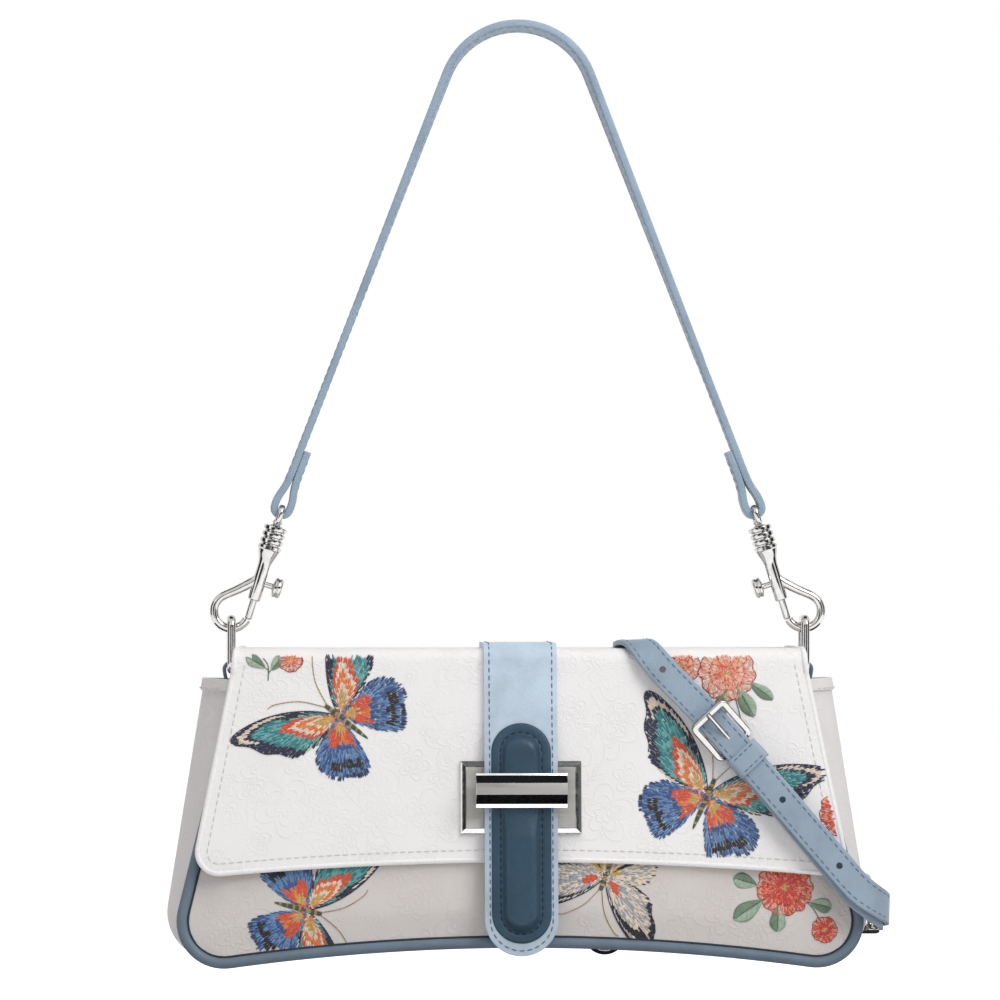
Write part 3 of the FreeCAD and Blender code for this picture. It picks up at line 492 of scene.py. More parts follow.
def strap_frames(line, across):
    """Along, across and outward at each point of a strap's middle line."""
    along = np.gradient(line, axis=0)
    along /= np.linalg.norm(along, axis=1)[:, None]
    across = square_to(np.broadcast_to(np.asarray(across, float), line.shape), along)
    return along, across, np.cross(along, across)


def strap(name, line, across, width, thick, columns=8, widths=None, soften=0.45):
    """A flat strap along a line: a grid bent to it, thickened and edged."""
    across = strap_frames(line, across)[1]
    share = np.linspace(-0.5, 0.5, columns + 1)
    widths = np.full(len(line), float(width)) if widths is None else widths
    points = line[:, None] + across[:, None] * (widths[:, None] * share[None])[..., None]
    flat = np.stack(np.broadcast_arrays(ways(line)[:, None], widths[:, None] * share[None]), -1)
    return thicken(flat_piece(name, points, flat), thick, 0.0, soften, 3, rim=1)


def round_bar(name, line, radii, closed=False, sides=4):
    """A round bar along a line, with its radius at each point, in the measure that it is drawn in."""
    curve = bpy.data.curves.new(name, "CURVE")
    curve.dimensions = "3D"
    curve.bevel_depth = 1.0
    curve.bevel_resolution = sides
    curve.use_fill_caps = not closed
    spline = curve.splines.new("POLY")
    spline.points.add(len(line) - 1)
    for point, place, radius in zip(spline.points, line, radii):
        point.co = (*place, 1)
        point.radius = radius
    spline.use_cyclic_u = closed
    obj = bpy.data.objects.new(name, curve)
    scene.collection.objects.link(obj)
    only(obj)
    bpy.ops.object.convert(target="MESH")
    obj = bpy.context.object
    obj.name = obj.data.name = name
    return obj


def tube(name, line, radius, sides=4):
    """A cord of one thickness, given in millimetres."""
    return smooth(round_bar(name, np.asarray(line) * MM, np.full(len(line), radius * MM), sides=sides), 50)


print("tools for straps and cords ready")

# %% [markdown]
# Stitches are small and many, so one stitch is modelled as a low rounded bead with few faces and then laid along a
# seam in copies, joined in one mesh. Each one dips into the leather at its ends, which is what makes a sewn line
# read as sewn.


# %% One stitch and rows of it
def laid_flat(obj):
    """Turn an upright shape to lie along the first axis."""
    edit_all(obj)
    bpy.ops.transform.rotate(value=math.pi / 2, orient_axis="Y", center_override=(0, 0, 0))
    bpy.ops.object.mode_set(mode="OBJECT")
    return obj


def taken_shape(obj):
    """The points and faces of a small shape, which is then removed."""
    shape = np.array([tuple(v.co) for v in obj.data.vertices]), [tuple(p.vertices) for p in obj.data.polygons]
    bpy.data.objects.remove(obj)
    return shape


BEAD = taken_shape(laid_flat(primitive("uv_sphere", "bead", segments=6, ring_count=5, radius=0.5)))


def laid_copies(name, shape, places):
    """Copies of one small shape at many places, joined in one mesh. A place is a centre and three axes."""
    points, faces = shape
    places = np.asarray(places, float)
    count, each = len(places), len(points)
    spots = places[:, None, 0] + np.einsum("pk,ckx->cpx", points, places[:, 1:])
    every = [tuple(i + copy * each for i in face) for copy in range(count) for face in faces]
    return smooth(from_points(name, (spots.reshape(-1, 3) * MM).tolist(), [], every), 180)


def seam_places(line, outward, pitch, size):
    """Places of stitches along a line: each lies along it, a little into the cloth."""
    line = np.asarray(line, float)
    count = max(2, int(round(ways(line)[-1] / pitch)))
    marks = spaced(line, 2 * count + 1)
    step = marks[2::2] - marks[:-1:2]
    along = step / np.linalg.norm(step, axis=1)[:, None]
    outward = square_to(spaced(np.broadcast_to(outward, line.shape), 2 * count + 1)[1::2], along)
    side = np.cross(outward, along)
    length, width, height = size
    return np.stack([marks[1::2], along * length, side * width, outward * height], 1)


def sewing(name, places, thread):
    """Stitches of one thread at the places given."""
    return paint(laid_copies(name, BEAD, places), thread)


print("stitch has", len(BEAD[1]), "faces")

# %% [markdown]
# Patterns in cloth, leather and metal are mixed from noise, ramps and arithmetic. Each recipe ends in the same way: a
# relief, a colour and, where it changes, a roughness are linked to the main shader.


# %% Tools for patterns
def linear(red, green, blue):
    """A colour given on the screen's scale, as light."""
    return tuple((c / 255 / 12.92) if c < 10.3 else ((c / 255 + 0.055) / 1.055) ** 2.4 for c in (red, green, blue))


def ramp(tree, source, stops):
    """A colour ramp between the stops given, each a place and a colour."""
    item = add_node(tree, "ValToRGB")
    points = item.color_ramp.elements
    while len(points) < len(stops):
        points.new(0.5)
    for point, (place, colour) in zip(points, stops):
        point.position = place
        point.color = (*colour, 1)
    tree.links.new(source, item.inputs[0])
    return item.outputs[0]


def grey(*pairs):
    """Stops of grey for a ramp."""
    return [(place, (value, value, value)) for place, value in pairs]


def mix_values(tree, first, second, share, operation="ADD"):
    """first plus or times second, the second at a share."""
    return sums(tree, operation, first, sums(tree, "MULTIPLY", second, share))


def noise(tree, place, scale, detail, roughness=0.5):
    """Soft random spots."""
    return add_node(tree, "TexNoise", Vector=place, Scale=scale, Detail=detail, Roughness=roughness).outputs["Fac"]


def own_place(tree):
    """Places on the piece itself."""
    return add_node(tree, "TexCoord").outputs["Object"]


def dress(tree, shader, height, strength, distance, colour, roughness=None):
    """Link a relief, a colour and, where it changes, a roughness to the main shader."""
    bump = add_node(tree, "Bump", Strength=strength, Distance=distance, Height=height)
    tree.links.new(bump.outputs[0], shader.inputs["Normal"])
    tree.links.new(colour, shader.inputs["Base Color"])
    if roughness is not None:
        tree.links.new(roughness, shader.inputs["Roughness"])


print("tools for patterns ready")

# %% [markdown]
# The white cloth is a jacquard: flowers and stems woven in the same white, over fine crossed threads. The colour hardly
# changes, so the pattern is mostly relief and gloss. It is drawn on the flat map of each panel.


# %% White jacquard
def woven_flowers(tree, flat, scale, reach):
    """Outlines of five petals, each scattered flower turned its own way."""
    cells = add_node(tree, "TexVoronoi", Vector=flat, feature="F1", Scale=scale, Randomness=0.9)
    away = fed(tree, "VectorMath", flat, cells.outputs["Position"], operation="SUBTRACT")
    x, y, _ = add_node(tree, "SeparateXYZ", Vector=away).outputs
    spin = add_node(tree, "SeparateXYZ", Vector=cells.outputs["Color"]).outputs[0]
    angle = sums(tree, "ADD", sums(tree, "ARCTAN2", y, x), sums(tree, "MULTIPLY", spin, 6.28))
    radius = sums(tree, "SQRT", sums(tree, "ADD", sums(tree, "MULTIPLY", x, x), sums(tree, "MULTIPLY", y, y)))
    petal = sums(tree, "ABSOLUTE", sums(tree, "COSINE", sums(tree, "MULTIPLY", angle, 2.5)))
    lines = None
    for size in (1.0, 0.62, 0.3):
        rim = sums(tree, "MULTIPLY", sums(tree, "ADD", sums(tree, "MULTIPLY", petal, 0.5), 0.5), reach * size)
        gap = sums(tree, "ABSOLUTE", sums(tree, "SUBTRACT", radius, rim))
        line = ramp(tree, sums(tree, "MULTIPLY", gap, 1000.0), grey((0.0, 1.0), (0.35, 0.8), (0.75, 0.0)))
        lines = line if lines is None else sums(tree, "MAXIMUM", lines, line)
    return lines


def jacquard(name, light, shade):
    """Cloth with flowers and stems woven in, over crossed threads."""
    mat, tree, shader = new_material(name, light, 0.62)
    flat = add_node(tree, "UVMap").outputs[0]
    flowers = sums(tree, "MAXIMUM", *(woven_flowers(tree, flat, *size) for size in ((34.0, 0.0125), (61.0, 0.0065))))
    vine = noise(tree, flat, 30.0, 1.0)
    stems = ramp(tree, sums(tree, "ABSOLUTE", sums(tree, "SUBTRACT", vine, 0.5)),
                 grey((0.0, 0.8), (0.008, 0.6), (0.016, 0.0)))
    patches = noise(tree, flat, 42.0, 2.0)
    where = ramp(tree, patches, grey((0.35, 0.25), (0.6, 1.0)))
    drawn = sums(tree, "MULTIPLY", sums(tree, "MAXIMUM", flowers, stems), where)
    warp, weft = (add_node(tree, "TexWave", Vector=flat, bands_direction=way, Scale=fine, Distortion=0.6).outputs["Fac"]
                  for way, fine in (("X", 420.0), ("Y", 520.0)))
    relief = mix_values(tree, drawn, mix_values(tree, warp, weft, 0.8), 0.10)
    crumple = noise(tree, flat, 230.0, 4.0, 0.6)
    relief = mix_values(tree, relief, crumple, 0.3)
    depth = mix_values(tree, mix_values(tree, drawn, crumple, 0.35, "MULTIPLY"), patches, 0.35)
    tone = fed(tree, "MixRGB", depth, (*light, 1), (*shade, 1))
    dress(tree, shader, relief, 0.42, 0.0003, tone, ramp(tree, drawn, grey((0.0, 0.60), (1.0, 0.42))))
    shader.inputs["Sheen Weight"].default_value = 0.12
    return mat


flap_cloth = jacquard("white_jacquard", linear(243, 241, 241), linear(230, 227, 226))
# The front panel's jacquard is the flap's white cloth painted darker: painted shade for the front below the flap.
painted_shade_front_cloth = jacquard("front_jacquard_painted_shade", linear(214, 208, 205), linear(198, 191, 188))
# The back, gusset and mouth bindings use the same white cloth painted a little darker: painted shade for the sides
# turned from the light.
painted_shade_side_cloth = jacquard("side_jacquard_painted_shade", linear(229, 226, 225), linear(213, 209, 208))
edge_cloth, edge_tree, edge_shader = new_material("turned_edge", linear(244, 243, 243), 0.55)
edge_grain = noise(edge_tree, own_place(edge_tree), 900.0, 3.0)
dress(edge_tree, edge_shader, edge_grain, 0.25, 0.0002,
      ramp(edge_tree, edge_grain, [(0.3, linear(236, 234, 234)), (0.7, linear(247, 246, 246))]))
print("three jacquards and the turned edge mixed")

# %% [markdown]
# Leather has a pebbled grain of less than a millimetre, a slow drift of colour and a soft gloss that is duller in the
# creases; the closure strap also has painted shade, darker towards its lower end. One recipe serves the light blue
# straps, the dark pad, the grey blue piping and the painted cut edges.

# %% Leather, lining, board and thread
GRAIN_DEPTH, COLOUR_DRIFT, THREAD_FINE = 0.00022, 0.08, 2600.0


def leather(name, colour, roughness, grain=1150.0, shade_below=None):
    """Grained leather. The last argument, if given, is painted shade lower down: a low and a high level and the share
    of its colour left at the low one.
    """
    mat, tree, shader = new_material(name, colour, roughness)
    place = own_place(tree)
    pebble = add_node(tree, "TexVoronoi", Vector=place, feature="SMOOTH_F1", Scale=grain, Smoothness=0.5)
    crease = noise(tree, place, grain * 0.28, 5.0, 0.6)
    height = mix_values(tree, pebble.outputs["Distance"], crease, 0.7)
    low = tuple(c * (1 - COLOUR_DRIFT * 1.6) for c in colour)
    high = tuple(min(1.0, c * (1 + COLOUR_DRIFT)) for c in colour)
    tone = ramp(tree, noise(tree, place, 60.0, 4.0, 0.6), [(0.32, low), (0.5, colour), (0.7, high)])
    if shade_below:
        level = add_node(tree, "SeparateXYZ", Vector=place).outputs[2]
        ends = dict(zip(("From Min", "From Max", "To Min"), shade_below))
        painted_shade_share = add_node(tree, "MapRange", Value=level, **ends).outputs[0]
        tone = fed(tree, "MixRGB", 1.0, tone, painted_shade_share, blend_type="MULTIPLY")
    dress(tree, shader, height, 0.35, GRAIN_DEPTH, tone,
          ramp(tree, crease, grey((0.3, roughness + 0.10), (0.7, roughness - 0.08))))
    shader.inputs["Specular IOR Level"].default_value = 0.4
    return mat


# The closure strap's leather carries painted shade: it darkens from near the top of the front down to the buckle bar,
# and is four fifths of its colour below it.
blue_leather = leather("blue_leather", linear(194, 211, 226), 0.46, shade_below=(-0.300, -0.262, 0.80))
blue_edge = leather("blue_edge_paint", linear(140, 160, 181), 0.5, grain=420.0)
dark_leather = leather("dark_blue_leather", linear(43, 70, 89), 0.40)
piping_leather = leather("piping_leather", linear(102, 118, 133), 0.44)
# A near black leather for a line of painted shade along the piping.
painted_seam_shade = leather("painted_seam_shade", linear(44, 52, 62), 0.60)
strap_leather = leather("strap_leather", linear(147, 164, 180), 0.46)
shoulder_leather = leather("shoulder_leather", linear(148, 167, 185), 0.46)


def woven(name, colour, fine):
    """Plain crossed threads in one colour."""
    mat, tree, shader = new_material(name, colour, 0.8)
    place = own_place(tree)
    grain = noise(tree, place, fine, 4.0, 0.65)
    cross = add_node(tree, "TexVoronoi", Vector=place, feature="F1", Scale=fine * 1.3, distance="CHEBYCHEV")
    tone = ramp(tree, grain, [(0.3, tuple(c * 0.86 for c in colour)), (0.7, colour)])
    dress(tree, shader, mix_values(tree, cross.outputs["Distance"], grain, 0.6), 0.4, 0.0002, tone)
    return mat


lining_cloth = woven("pale_lining", linear(208, 204, 199), 1500.0)
board_stuff = woven("stiff_board", linear(150, 143, 132), 700.0)
white_thread = woven("white_thread", linear(222, 219, 218), THREAD_FINE)
blue_thread = woven("blue_thread", linear(94, 118, 146), THREAD_FINE)
pale_blue_thread = woven("pale_blue_thread", linear(136, 160, 186), THREAD_FINE)
dark_thread = woven("dark_thread", linear(22, 34, 48), THREAD_FINE)
print("leathers and threads mixed")

# %% [markdown]
# The fittings are plated: a hard mirror on the hooks, rings and buckle frames, and a fine horizontal brushing on the
# flat inside of the large plate. Small scratches break the mirror a little.

# %% Metal
BRUSHED_WAY, SCRATCH_WAY = (25.0, 900.0, 900.0), (300.0, 300.0, 300.0)


def metal(name, colour, roughness, brushed=0.0):
    """Plated metal with fine marks, drawn out sideways where it is brushed."""
    mat, tree, shader = new_material(name, colour, roughness, 1.0)
    stretch = add_node(tree, "Mapping", Vector=own_place(tree), Scale=BRUSHED_WAY if brushed else SCRATCH_WAY)
    marks = noise(tree, stretch.outputs[0], 1.6, 5.0, 0.65)
    tone = ramp(tree, marks, [(0.25, tuple(c * 0.82 for c in colour)), (0.65, colour)])
    dress(tree, shader, marks, 0.03 + brushed, 0.00006, tone,
          ramp(tree, marks, grey((0.3, roughness * 0.7), (0.75, roughness * 1.5))))
    return mat


silver = metal("polished_silver", (0.60, 0.59, 0.58), 0.13)
# The next three stand in for light on single faces of the buckle: a very bright one is painted highlight, and two near
# black ones are painted dark reflection.
painted_highlight_silver = metal("painted_highlight_silver", (0.92, 0.91, 0.90), 0.22)
brushed_silver = metal("brushed_silver", (0.52, 0.51, 0.49), 0.50, 0.04)
satin_silver = metal("satin_silver", (0.44, 0.43, 0.42), 0.50, 0.01)
painted_dark_reflection_metal = metal("painted_dark_reflection_metal", (0.018, 0.018, 0.020), 0.25)
painted_dark_rim_metal = metal("painted_dark_rim_metal", (0.13, 0.13, 0.13), 0.30)
spring_steel = metal("spring_steel", (0.42, 0.42, 0.43), 0.25)
print("metals mixed")

# %% [markdown]
# The body is two leaning panels joined by one strip that runs down one side, under the foot and up the other. The
# strip swells between the seams. Each panel is a net over its outline; its middle stands a little proud and its edge
# turns in under the piping, as stuffed cloth does at a seam.

# %% Front and back panel
CLOTH_IN, CLOTH_THICK = 0.9, 1.8
NET_WIDE, NET_HIGH, SEAM_REACH = 250, 122, 15
SEAM_DIP, FULLNESS, BELLY, BELLY_UP, BELLY_SPREAD = 1.0, 1.3, 2.0, 34, 22


def ease(value):
    """From nought to one with a soft start and a soft end."""
    value = np.clip(value, 0, 1)
    return value * value * (3 - 2 * value)


def panel_swell(net):
    """How far a panel stands out: in at its seams, fullest below the flap."""
    rows, columns = net.shape[:2]
    u = np.linspace(0, 1, columns)[None]
    v = np.linspace(0, 1, rows)[:, None]
    near = np.minimum(np.minimum(u, 1 - u) * NET_WIDE, (1 - v) * NET_HIGH)
    belly = BELLY * np.exp(-((net[..., 1] - BELLY_UP) / BELLY_SPREAD) ** 2)
    return -SEAM_DIP + ease(near / SEAM_REACH) * (FULLNESS + belly * np.cos((u - 0.5) * 2.2))


def body_panel(name, side, node, cloth):
    """A swelling panel on the leaning front or back."""
    net = panel_net(SEAM, CLOTH_IN, PANEL_HEIGHT, 140, 76)
    points = side(net[..., 0], panel_swell(net), net[..., 1])
    if side is back:
        points, net = points[:, ::-1], net[:, ::-1]
    piece = thicken(flat_piece(name, points, net), CLOTH_THICK, -1.0, 0.3)
    return rides(paint(piece, cloth), "bag", "white_jacquard", node)


front_cloth = body_panel("front_cloth", front, "front_panel", painted_shade_front_cloth)
body_panel("back_cloth", back, "back_panel", painted_shade_side_cloth)
print("panels", len(front_cloth.data.polygons), "faces each")

# %% [markdown]
# The gusset is one long strip. Its edge lines are the seams of the two panels and its middle follows a wider outline,
# so a curve through the three gives the swell that shows outside the piping from the front.

# %% Gusset and piping
GUSSET_TOP, PIPE_TOP, STRIP_COLUMNS = PANEL_HEIGHT - 10.0, PANEL_HEIGHT - 1.5, 25
PIPE_RADIUS, SHADOW_LINE_IN, SHADOW_LINE_RADIUS = 2.2, 2.5, 0.45


def strip_net(inset, tuck, cut):
    """Points of a strip round the bag between the panels, from its right top to its left top."""
    edge = whole_edge(SEAM, inset, cut)
    swell = whole_edge(MIDDLE, inset, cut)
    first = front(edge[:, 0], -tuck, edge[:, 1])
    last = back(edge[:, 0], -tuck, edge[:, 1])
    middle = np.stack([swell[:, 0], np.full(len(swell), BAG_Y), BAG_Z + swell[:, 1]], -1)
    t = np.linspace(0, 1, STRIP_COLUMNS)[None, :, None]
    return (first[:, None] * (1 - t) * (1 - 2 * t) + middle[:, None] * 4 * t * (1 - t)
            + last[:, None] * t * (2 * t - 1))


def strip_flat(points):
    """The strip's flat map: its width and its length as cut."""
    return np.stack(np.broadcast_arrays(ways(points[0])[None], ways(points[:, 0])[:, None]), -1)


strip = strip_net(CLOTH_IN, 1.0, GUSSET_TOP)
gusset_cloth = thicken(flat_piece("gusset_cloth", strip, strip_flat(strip)), CLOTH_THICK, -1.0, 0.3)
edit_all(gusset_cloth)
leave_outwards()
rides(paint(gusset_cloth, painted_shade_side_cloth), "bag", "white_jacquard", "gusset")
for name, side in (("front", front), ("back", back)):
    edge = whole_edge(SEAM, 0, PIPE_TOP)
    pipe = tube("piping_" + name, spaced(side(edge[:, 0], -1.0, edge[:, 1]), 260), PIPE_RADIUS)
    rides(paint(pipe, piping_leather), "bag", "piping_leather", name + "_piping")
    # A thin near black cord just inside each piping is painted shade: the shadow in the seam where the panel meets the
    # piping.
    edge = whole_edge(SEAM, SHADOW_LINE_IN, PIPE_TOP)
    crease = tube("piping_shadow_line_" + name, spaced(side(edge[:, 0], -0.8, edge[:, 1]), 200), SHADOW_LINE_RADIUS, sides=1)
    rides(paint(crease, painted_seam_shade), "bag", "piping_leather")
print("gusset strip and two pipings sewn")

# %% [markdown]
# Inside, a thin lining follows the panels and the strip, a flat pocket is sewn to its back and a board stiffens the
# foot. They could be cut as plain boxes; here they are laid a little inside the outer cloth, so the open bag shows
# soft walls and a soft mouth.

# %% Lining, pocket and board
LINING_IN, LINING_TUCK, LINING_THICK = 5.4, 3.2, 0.5
inside = [flat_piece("lining_strip", strip_net(LINING_IN, LINING_TUCK, GUSSET_TOP))]
for side in (front, back):
    net = panel_net(SEAM, LINING_IN, GUSSET_TOP, 60, 40)
    inside.append(flat_piece("lining_side", side(net[..., 0], -LINING_TUCK, net[..., 1])))
lining = finish_with(join("lining_cloth", inside), "SOLIDIFY", thickness=LINING_THICK * MM, offset=0.0)
rides(paint(smooth(lining), lining_cloth), "bag", "pale_lining", "lining")
paint(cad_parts["bottom_board"], board_stuff)
POCKET_HALF, POCKET_LOW, POCKET_HIGH, POCKET_IN, POCKET_SAG = 70.0, 30.0, 100.0, 4.3, 0.9
pocket_x, pocket_up = np.meshgrid(np.linspace(-POCKET_HALF, POCKET_HALF, 50), np.linspace(POCKET_HIGH, POCKET_LOW, 30))
sag = POCKET_SAG * ease((pocket_up - POCKET_LOW) / 50) * np.cos(pocket_x / POCKET_HALF * math.pi / 2)
pocket = flat_piece("pocket_cloth", back(pocket_x, -POCKET_IN - sag, pocket_up), np.stack([pocket_x, pocket_up], -1))
rides(paint(thicken(pocket, 0.7, 0.0, 0.2), lining_cloth), "bag", "pale_lining", "inner_pocket")
print("lining, pocket and board in")

# %% [markdown]
# The flap is one piece of cloth, modelled as one sheet: sewn low on the back, over the top and down the front.

# %% Flap
FLAP_OUT, FLAP_THICK, FLAP_START, FOLD_RADIUS, LID_HALF, FLAP_COLUMNS = 4.6, 1.9, 119.0, 5.0, 108.5, 200
LID_TOP = BAG_TOP + 3.4


def bends_with_flap(piece, slot=None, *nodes):
    """Bake a piece's place into its mesh and hide the hard nodes that it takes the place of."""
    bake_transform(piece)
    return stands_for(piece, slot, *nodes)


def over_the_top(back_out, back_up, top, front_out, front_up, radius, step):
    """A side view line from the back, over the lid and down the front, as y and z."""
    def meets(side, out):
        """Where a side's line reaches the lid's level."""
        low, high = side(0.0, out, 0.0), side(0.0, out, PANEL_HEIGHT)
        share = (BAG_Z + top - low[2]) / (high[2] - low[2])
        return low + (high - low) * share
    corners = [back(0.0, back_out, back_up), meets(back, back_out), meets(front, front_out),
               front(0.0, front_out, front_up)]
    return rounded_line([tuple(p) for p in corners], [0, radius, radius, 0], step)


def lifted(points, out):
    """Places on the flap's front. Its lower corners stand a little away from the bag."""
    x, up = points[..., 0], points[..., 1]
    lift = 1.3 * ease((np.abs(x) - 60) / 70) * ease((95 - up) / 60)
    return front(x, out + lift, up)


def lid_net(halves, line, columns):
    """Rows of points across the lid, each to its half width on both sides."""
    share = np.linspace(-1, 1, columns)[None]
    return np.stack(np.broadcast_arrays(np.reshape(halves, (-1, 1)) * share, line[:, 1:2], line[:, 2:3]), -1)


lid_line = over_the_top(2.4, 103.0, LID_TOP, FLAP_OUT, FLAP_START, FOLD_RADIUS, 1.5)[:-1]
flap_net = panel_net(FLAP, 0.0, FLAP_START, FLAP_COLUMNS, 84)
grow = np.linspace(LID_HALF, flap_net[0, -1, 0], len(lid_line))
lid_rows = lid_net(grow, lid_line, FLAP_COLUMNS)
lid_way = ways(lid_line)
lid_up = FLAP_START + (lid_way[-1] - lid_way)[:, None] + 1.5
lid_flat = np.stack(np.broadcast_arrays(lid_rows[..., 0], lid_up), -1)
flap_rows = np.concatenate([lid_rows, lifted(flap_net, FLAP_OUT)])
flap = flat_piece("flap_cloth", flap_rows, np.concatenate([lid_flat, flap_net]))
thicken(flap, FLAP_THICK, -1.0, 0.7, 3)
bends_with_flap(paint(flap, flap_cloth), "white_jacquard", "flap_panel", "flap_lid", "flap_root")
print("flap", len(flap.data.polygons), "faces")

# %% [markdown]
# The flap's cut edge is turned over a thin cord and sewn down, which gives the soft white roll and the line of
# stitches a few millimetres in. Inside, a smaller piece of lining covers the turnings.

# %% Turned edge, stitches and lining of the flap
ROLL_IN, ROLL_RADIUS, ROLL_SKIP, SEWN_IN, INSIDE_IN, INSIDE_COLUMNS = 0.9, 1.2, 14, 4.8, 6.5, 90
INSIDE_OUT = FLAP_OUT - 2.15
edge_line = lifted(whole_edge(FLAP, ROLL_IN, FLAP_START), FLAP_OUT - ROLL_IN)
lid_side = np.stack([grow - ROLL_IN, lid_line[:, 1], lid_line[:, 2] - 0.5], -1)
left_side = lid_side[::-1] * np.array([-1, 1, 1])
roll_line = np.vstack([lid_side[ROLL_SKIP:], edge_line, left_side[:-ROLL_SKIP]])
roll = tube("flap_edge_roll", spaced(roll_line, 420), ROLL_RADIUS)
bends_with_flap(paint(roll, edge_cloth), "white_jacquard")
sewn_line = lifted(whole_edge(FLAP, SEWN_IN, FLAP_START + 4), FLAP_OUT + 0.05)
stitches = sewing("flap_stitches", seam_places(sewn_line, FRONT_OUT, 3.3, (2.5, 0.6, 0.55)), white_thread)
bends_with_flap(stitches)
inner_line = over_the_top(0.4, 104.0, LID_TOP - 2.2, INSIDE_OUT, FLAP_START, 3.0, 2.0)[:-1]
inner_net = panel_net(FLAP, INSIDE_IN, FLAP_START, INSIDE_COLUMNS, 44)
inner_rows = lid_net(inner_net[0, -1, 0], inner_line, INSIDE_COLUMNS)
flap_inside = flat_piece("flap_lining_cloth", np.concatenate([inner_rows, lifted(inner_net, INSIDE_OUT)]))
thicken(flap_inside, 0.4, -1.0, 0.0)
bends_with_flap(paint(flap_inside, lining_cloth), "pale_lining", "flap_lining")
print("flap edged, sewn and lined")

# %% [markdown]
# The closure strap is sewn on the back, runs over the lid and down the front, and ends in a round tip. It lies on the
# flap at the top and rises over the buckle plate. A strap map turns a distance along the strap and a distance across
# it into a place on its face, so that stitches can be laid on it.


# %% Closure strap
def round_tip(line, half, rows=16):
    """Rows crowd towards the end, where the width falls away in a half circle."""
    way = ways(line)
    turn = np.linspace(math.pi / 2, 0.05, rows)
    there = way[-1] - half + half * np.cos(turn)
    straight = line[way < way[-1] - half - 0.3]
    widths = np.concatenate([np.full(len(straight), 2.0 * half), 2.0 * half * np.sin(turn)])
    return np.vstack([straight, along_line(way, line, there)]), widths


def strap_map(line, across):
    """Turns a distance along, a distance across and a rise into a place and the way out from the face."""
    _, side, outward = strap_frames(line, across)
    way = ways(line)

    def place(there, aside, rise):
        """The place and the way out there."""
        there = np.asarray(there, float)
        out = along_line(way, outward, there)
        spot = along_line(way, line, there) + along_line(way, side, there) * np.reshape(aside, (-1, 1))
        return spot + out * rise, out
    return place, way[-1]


def sewn_row(place, start, end, aside, rise, pitch, size):
    """Stitches in a straight row along a strap."""
    there = np.linspace(start, end, max(3, int((end - start) / 2)))
    spots, out = place(there, np.full(len(there), aside), rise)
    return seam_places(spots, out, pitch, size)


CLOSURE_HALF, CLOSURE_THICK, TIP_UP, SEAM_IN, CLOSURE_LIFT = 14.8, 2.2, 4.0, 2.1, 1.25
top_line = over_the_top(3.5, 104.5, LID_TOP + 1.1, FLAP_OUT + CLOSURE_LIFT, 108.0, 6.0, 1.4)
drop = ((FLAP_OUT + CLOSURE_LIFT, 106.0), (FLAP_OUT + 1.5, 98.0), (8.2, 86.0), (8.5, 76.0), (8.5, 50.0), (8.5, 25.0),
        (8.5, TIP_UP))
drop_line = smooth_line([front(0.0, out, up) for out, up in drop], 1.4)
closure_line = spaced(np.vstack([top_line, drop_line]), 150)
tip_line, tip_widths = round_tip(closure_line, CLOSURE_HALF)
closure = strap("closure_strap_leather", tip_line, (-1, 0, 0), 2 * CLOSURE_HALF, CLOSURE_THICK, 12, tip_widths)
bends_with_flap(paint(closure, blue_leather, blue_edge), "blue_leather",
                "closure_strap", "closure_strap_top", "closure_strap_root")
closure_place, closure_length = strap_map(closure_line, (1, 0, 0))
turn = np.linspace(0, math.pi, 24)
sewn_half, bend_at = CLOSURE_HALF - SEAM_IN, closure_length - CLOSURE_HALF
leg = np.linspace(4, bend_at, 90)[:-1]
path_along = np.concatenate([leg, bend_at + sewn_half * np.sin(turn), leg[::-1]])
path_aside = np.concatenate([np.full(len(leg), sewn_half), sewn_half * np.cos(turn), np.full(len(leg), -sewn_half)])
spots, out = closure_place(path_along, path_aside, CLOSURE_THICK / 2 + 0.05)
bends_with_flap(sewing("closure_stitches", seam_places(spots, out, 3.2, (2.3, 0.55, 0.5)), blue_thread))
print("closure strap", round(closure_length), "mm long")

# %% [markdown]
# The dark strip on the strap is a padded loop tab: a flat flange sewn down all round and a stuffed middle. Its height
# is drawn from the distance to its edge, so the flange, the sewn groove and the crown follow its round ends. It is
# fuller away from the bar that holds it down, and sinks towards its top, where the strap lies closer to the flap.

# %% Padded strip
PAD_HALF, PAD_LOW, PAD_HIGH, PAD_BASE, PAD_SEAM, BAR_LEVEL = 12.1, 9.0, 98.4, 9.55, 3.7, 70.6
PAD_TOP, PAD_FOOT = PAD_HIGH - PAD_HALF, PAD_LOW + PAD_HALF


def pad_sink(up):
    """How far the pad sinks towards its top."""
    return 2.2 * ease((up - 80) / 26)


turn = np.linspace(0.03, math.pi / 2, 22)
leg = np.linspace(PAD_TOP, PAD_FOOT, 70)[1:-1]
pad_up = np.concatenate([PAD_TOP + PAD_HALF * np.cos(turn), leg, PAD_FOOT - PAD_HALF * np.cos(turn[::-1])])
pad_wide = np.concatenate([PAD_HALF * np.sin(turn), np.full(len(leg), PAD_HALF), PAD_HALF * np.sin(turn[::-1])])
pad_x = pad_wide[:, None] * np.sin(np.linspace(-math.pi / 2, math.pi / 2, 49))[None]
pad_z = np.broadcast_to(pad_up[:, None], pad_x.shape)
beyond = np.maximum(np.maximum(pad_z - PAD_TOP, PAD_FOOT - pad_z), 0)
margin = PAD_HALF - np.hypot(pad_x, beyond)
inner = margin - PAD_SEAM - 0.5
pad_rise = (0.75 * np.sqrt(np.clip(margin / 0.8, 0, 1)) - 0.35 * np.exp(-((margin - PAD_SEAM) / 0.55) ** 2)
            + 1.45 * ease(inner / 1.9) + 0.35 * ease((inner - 0.8) / 6))
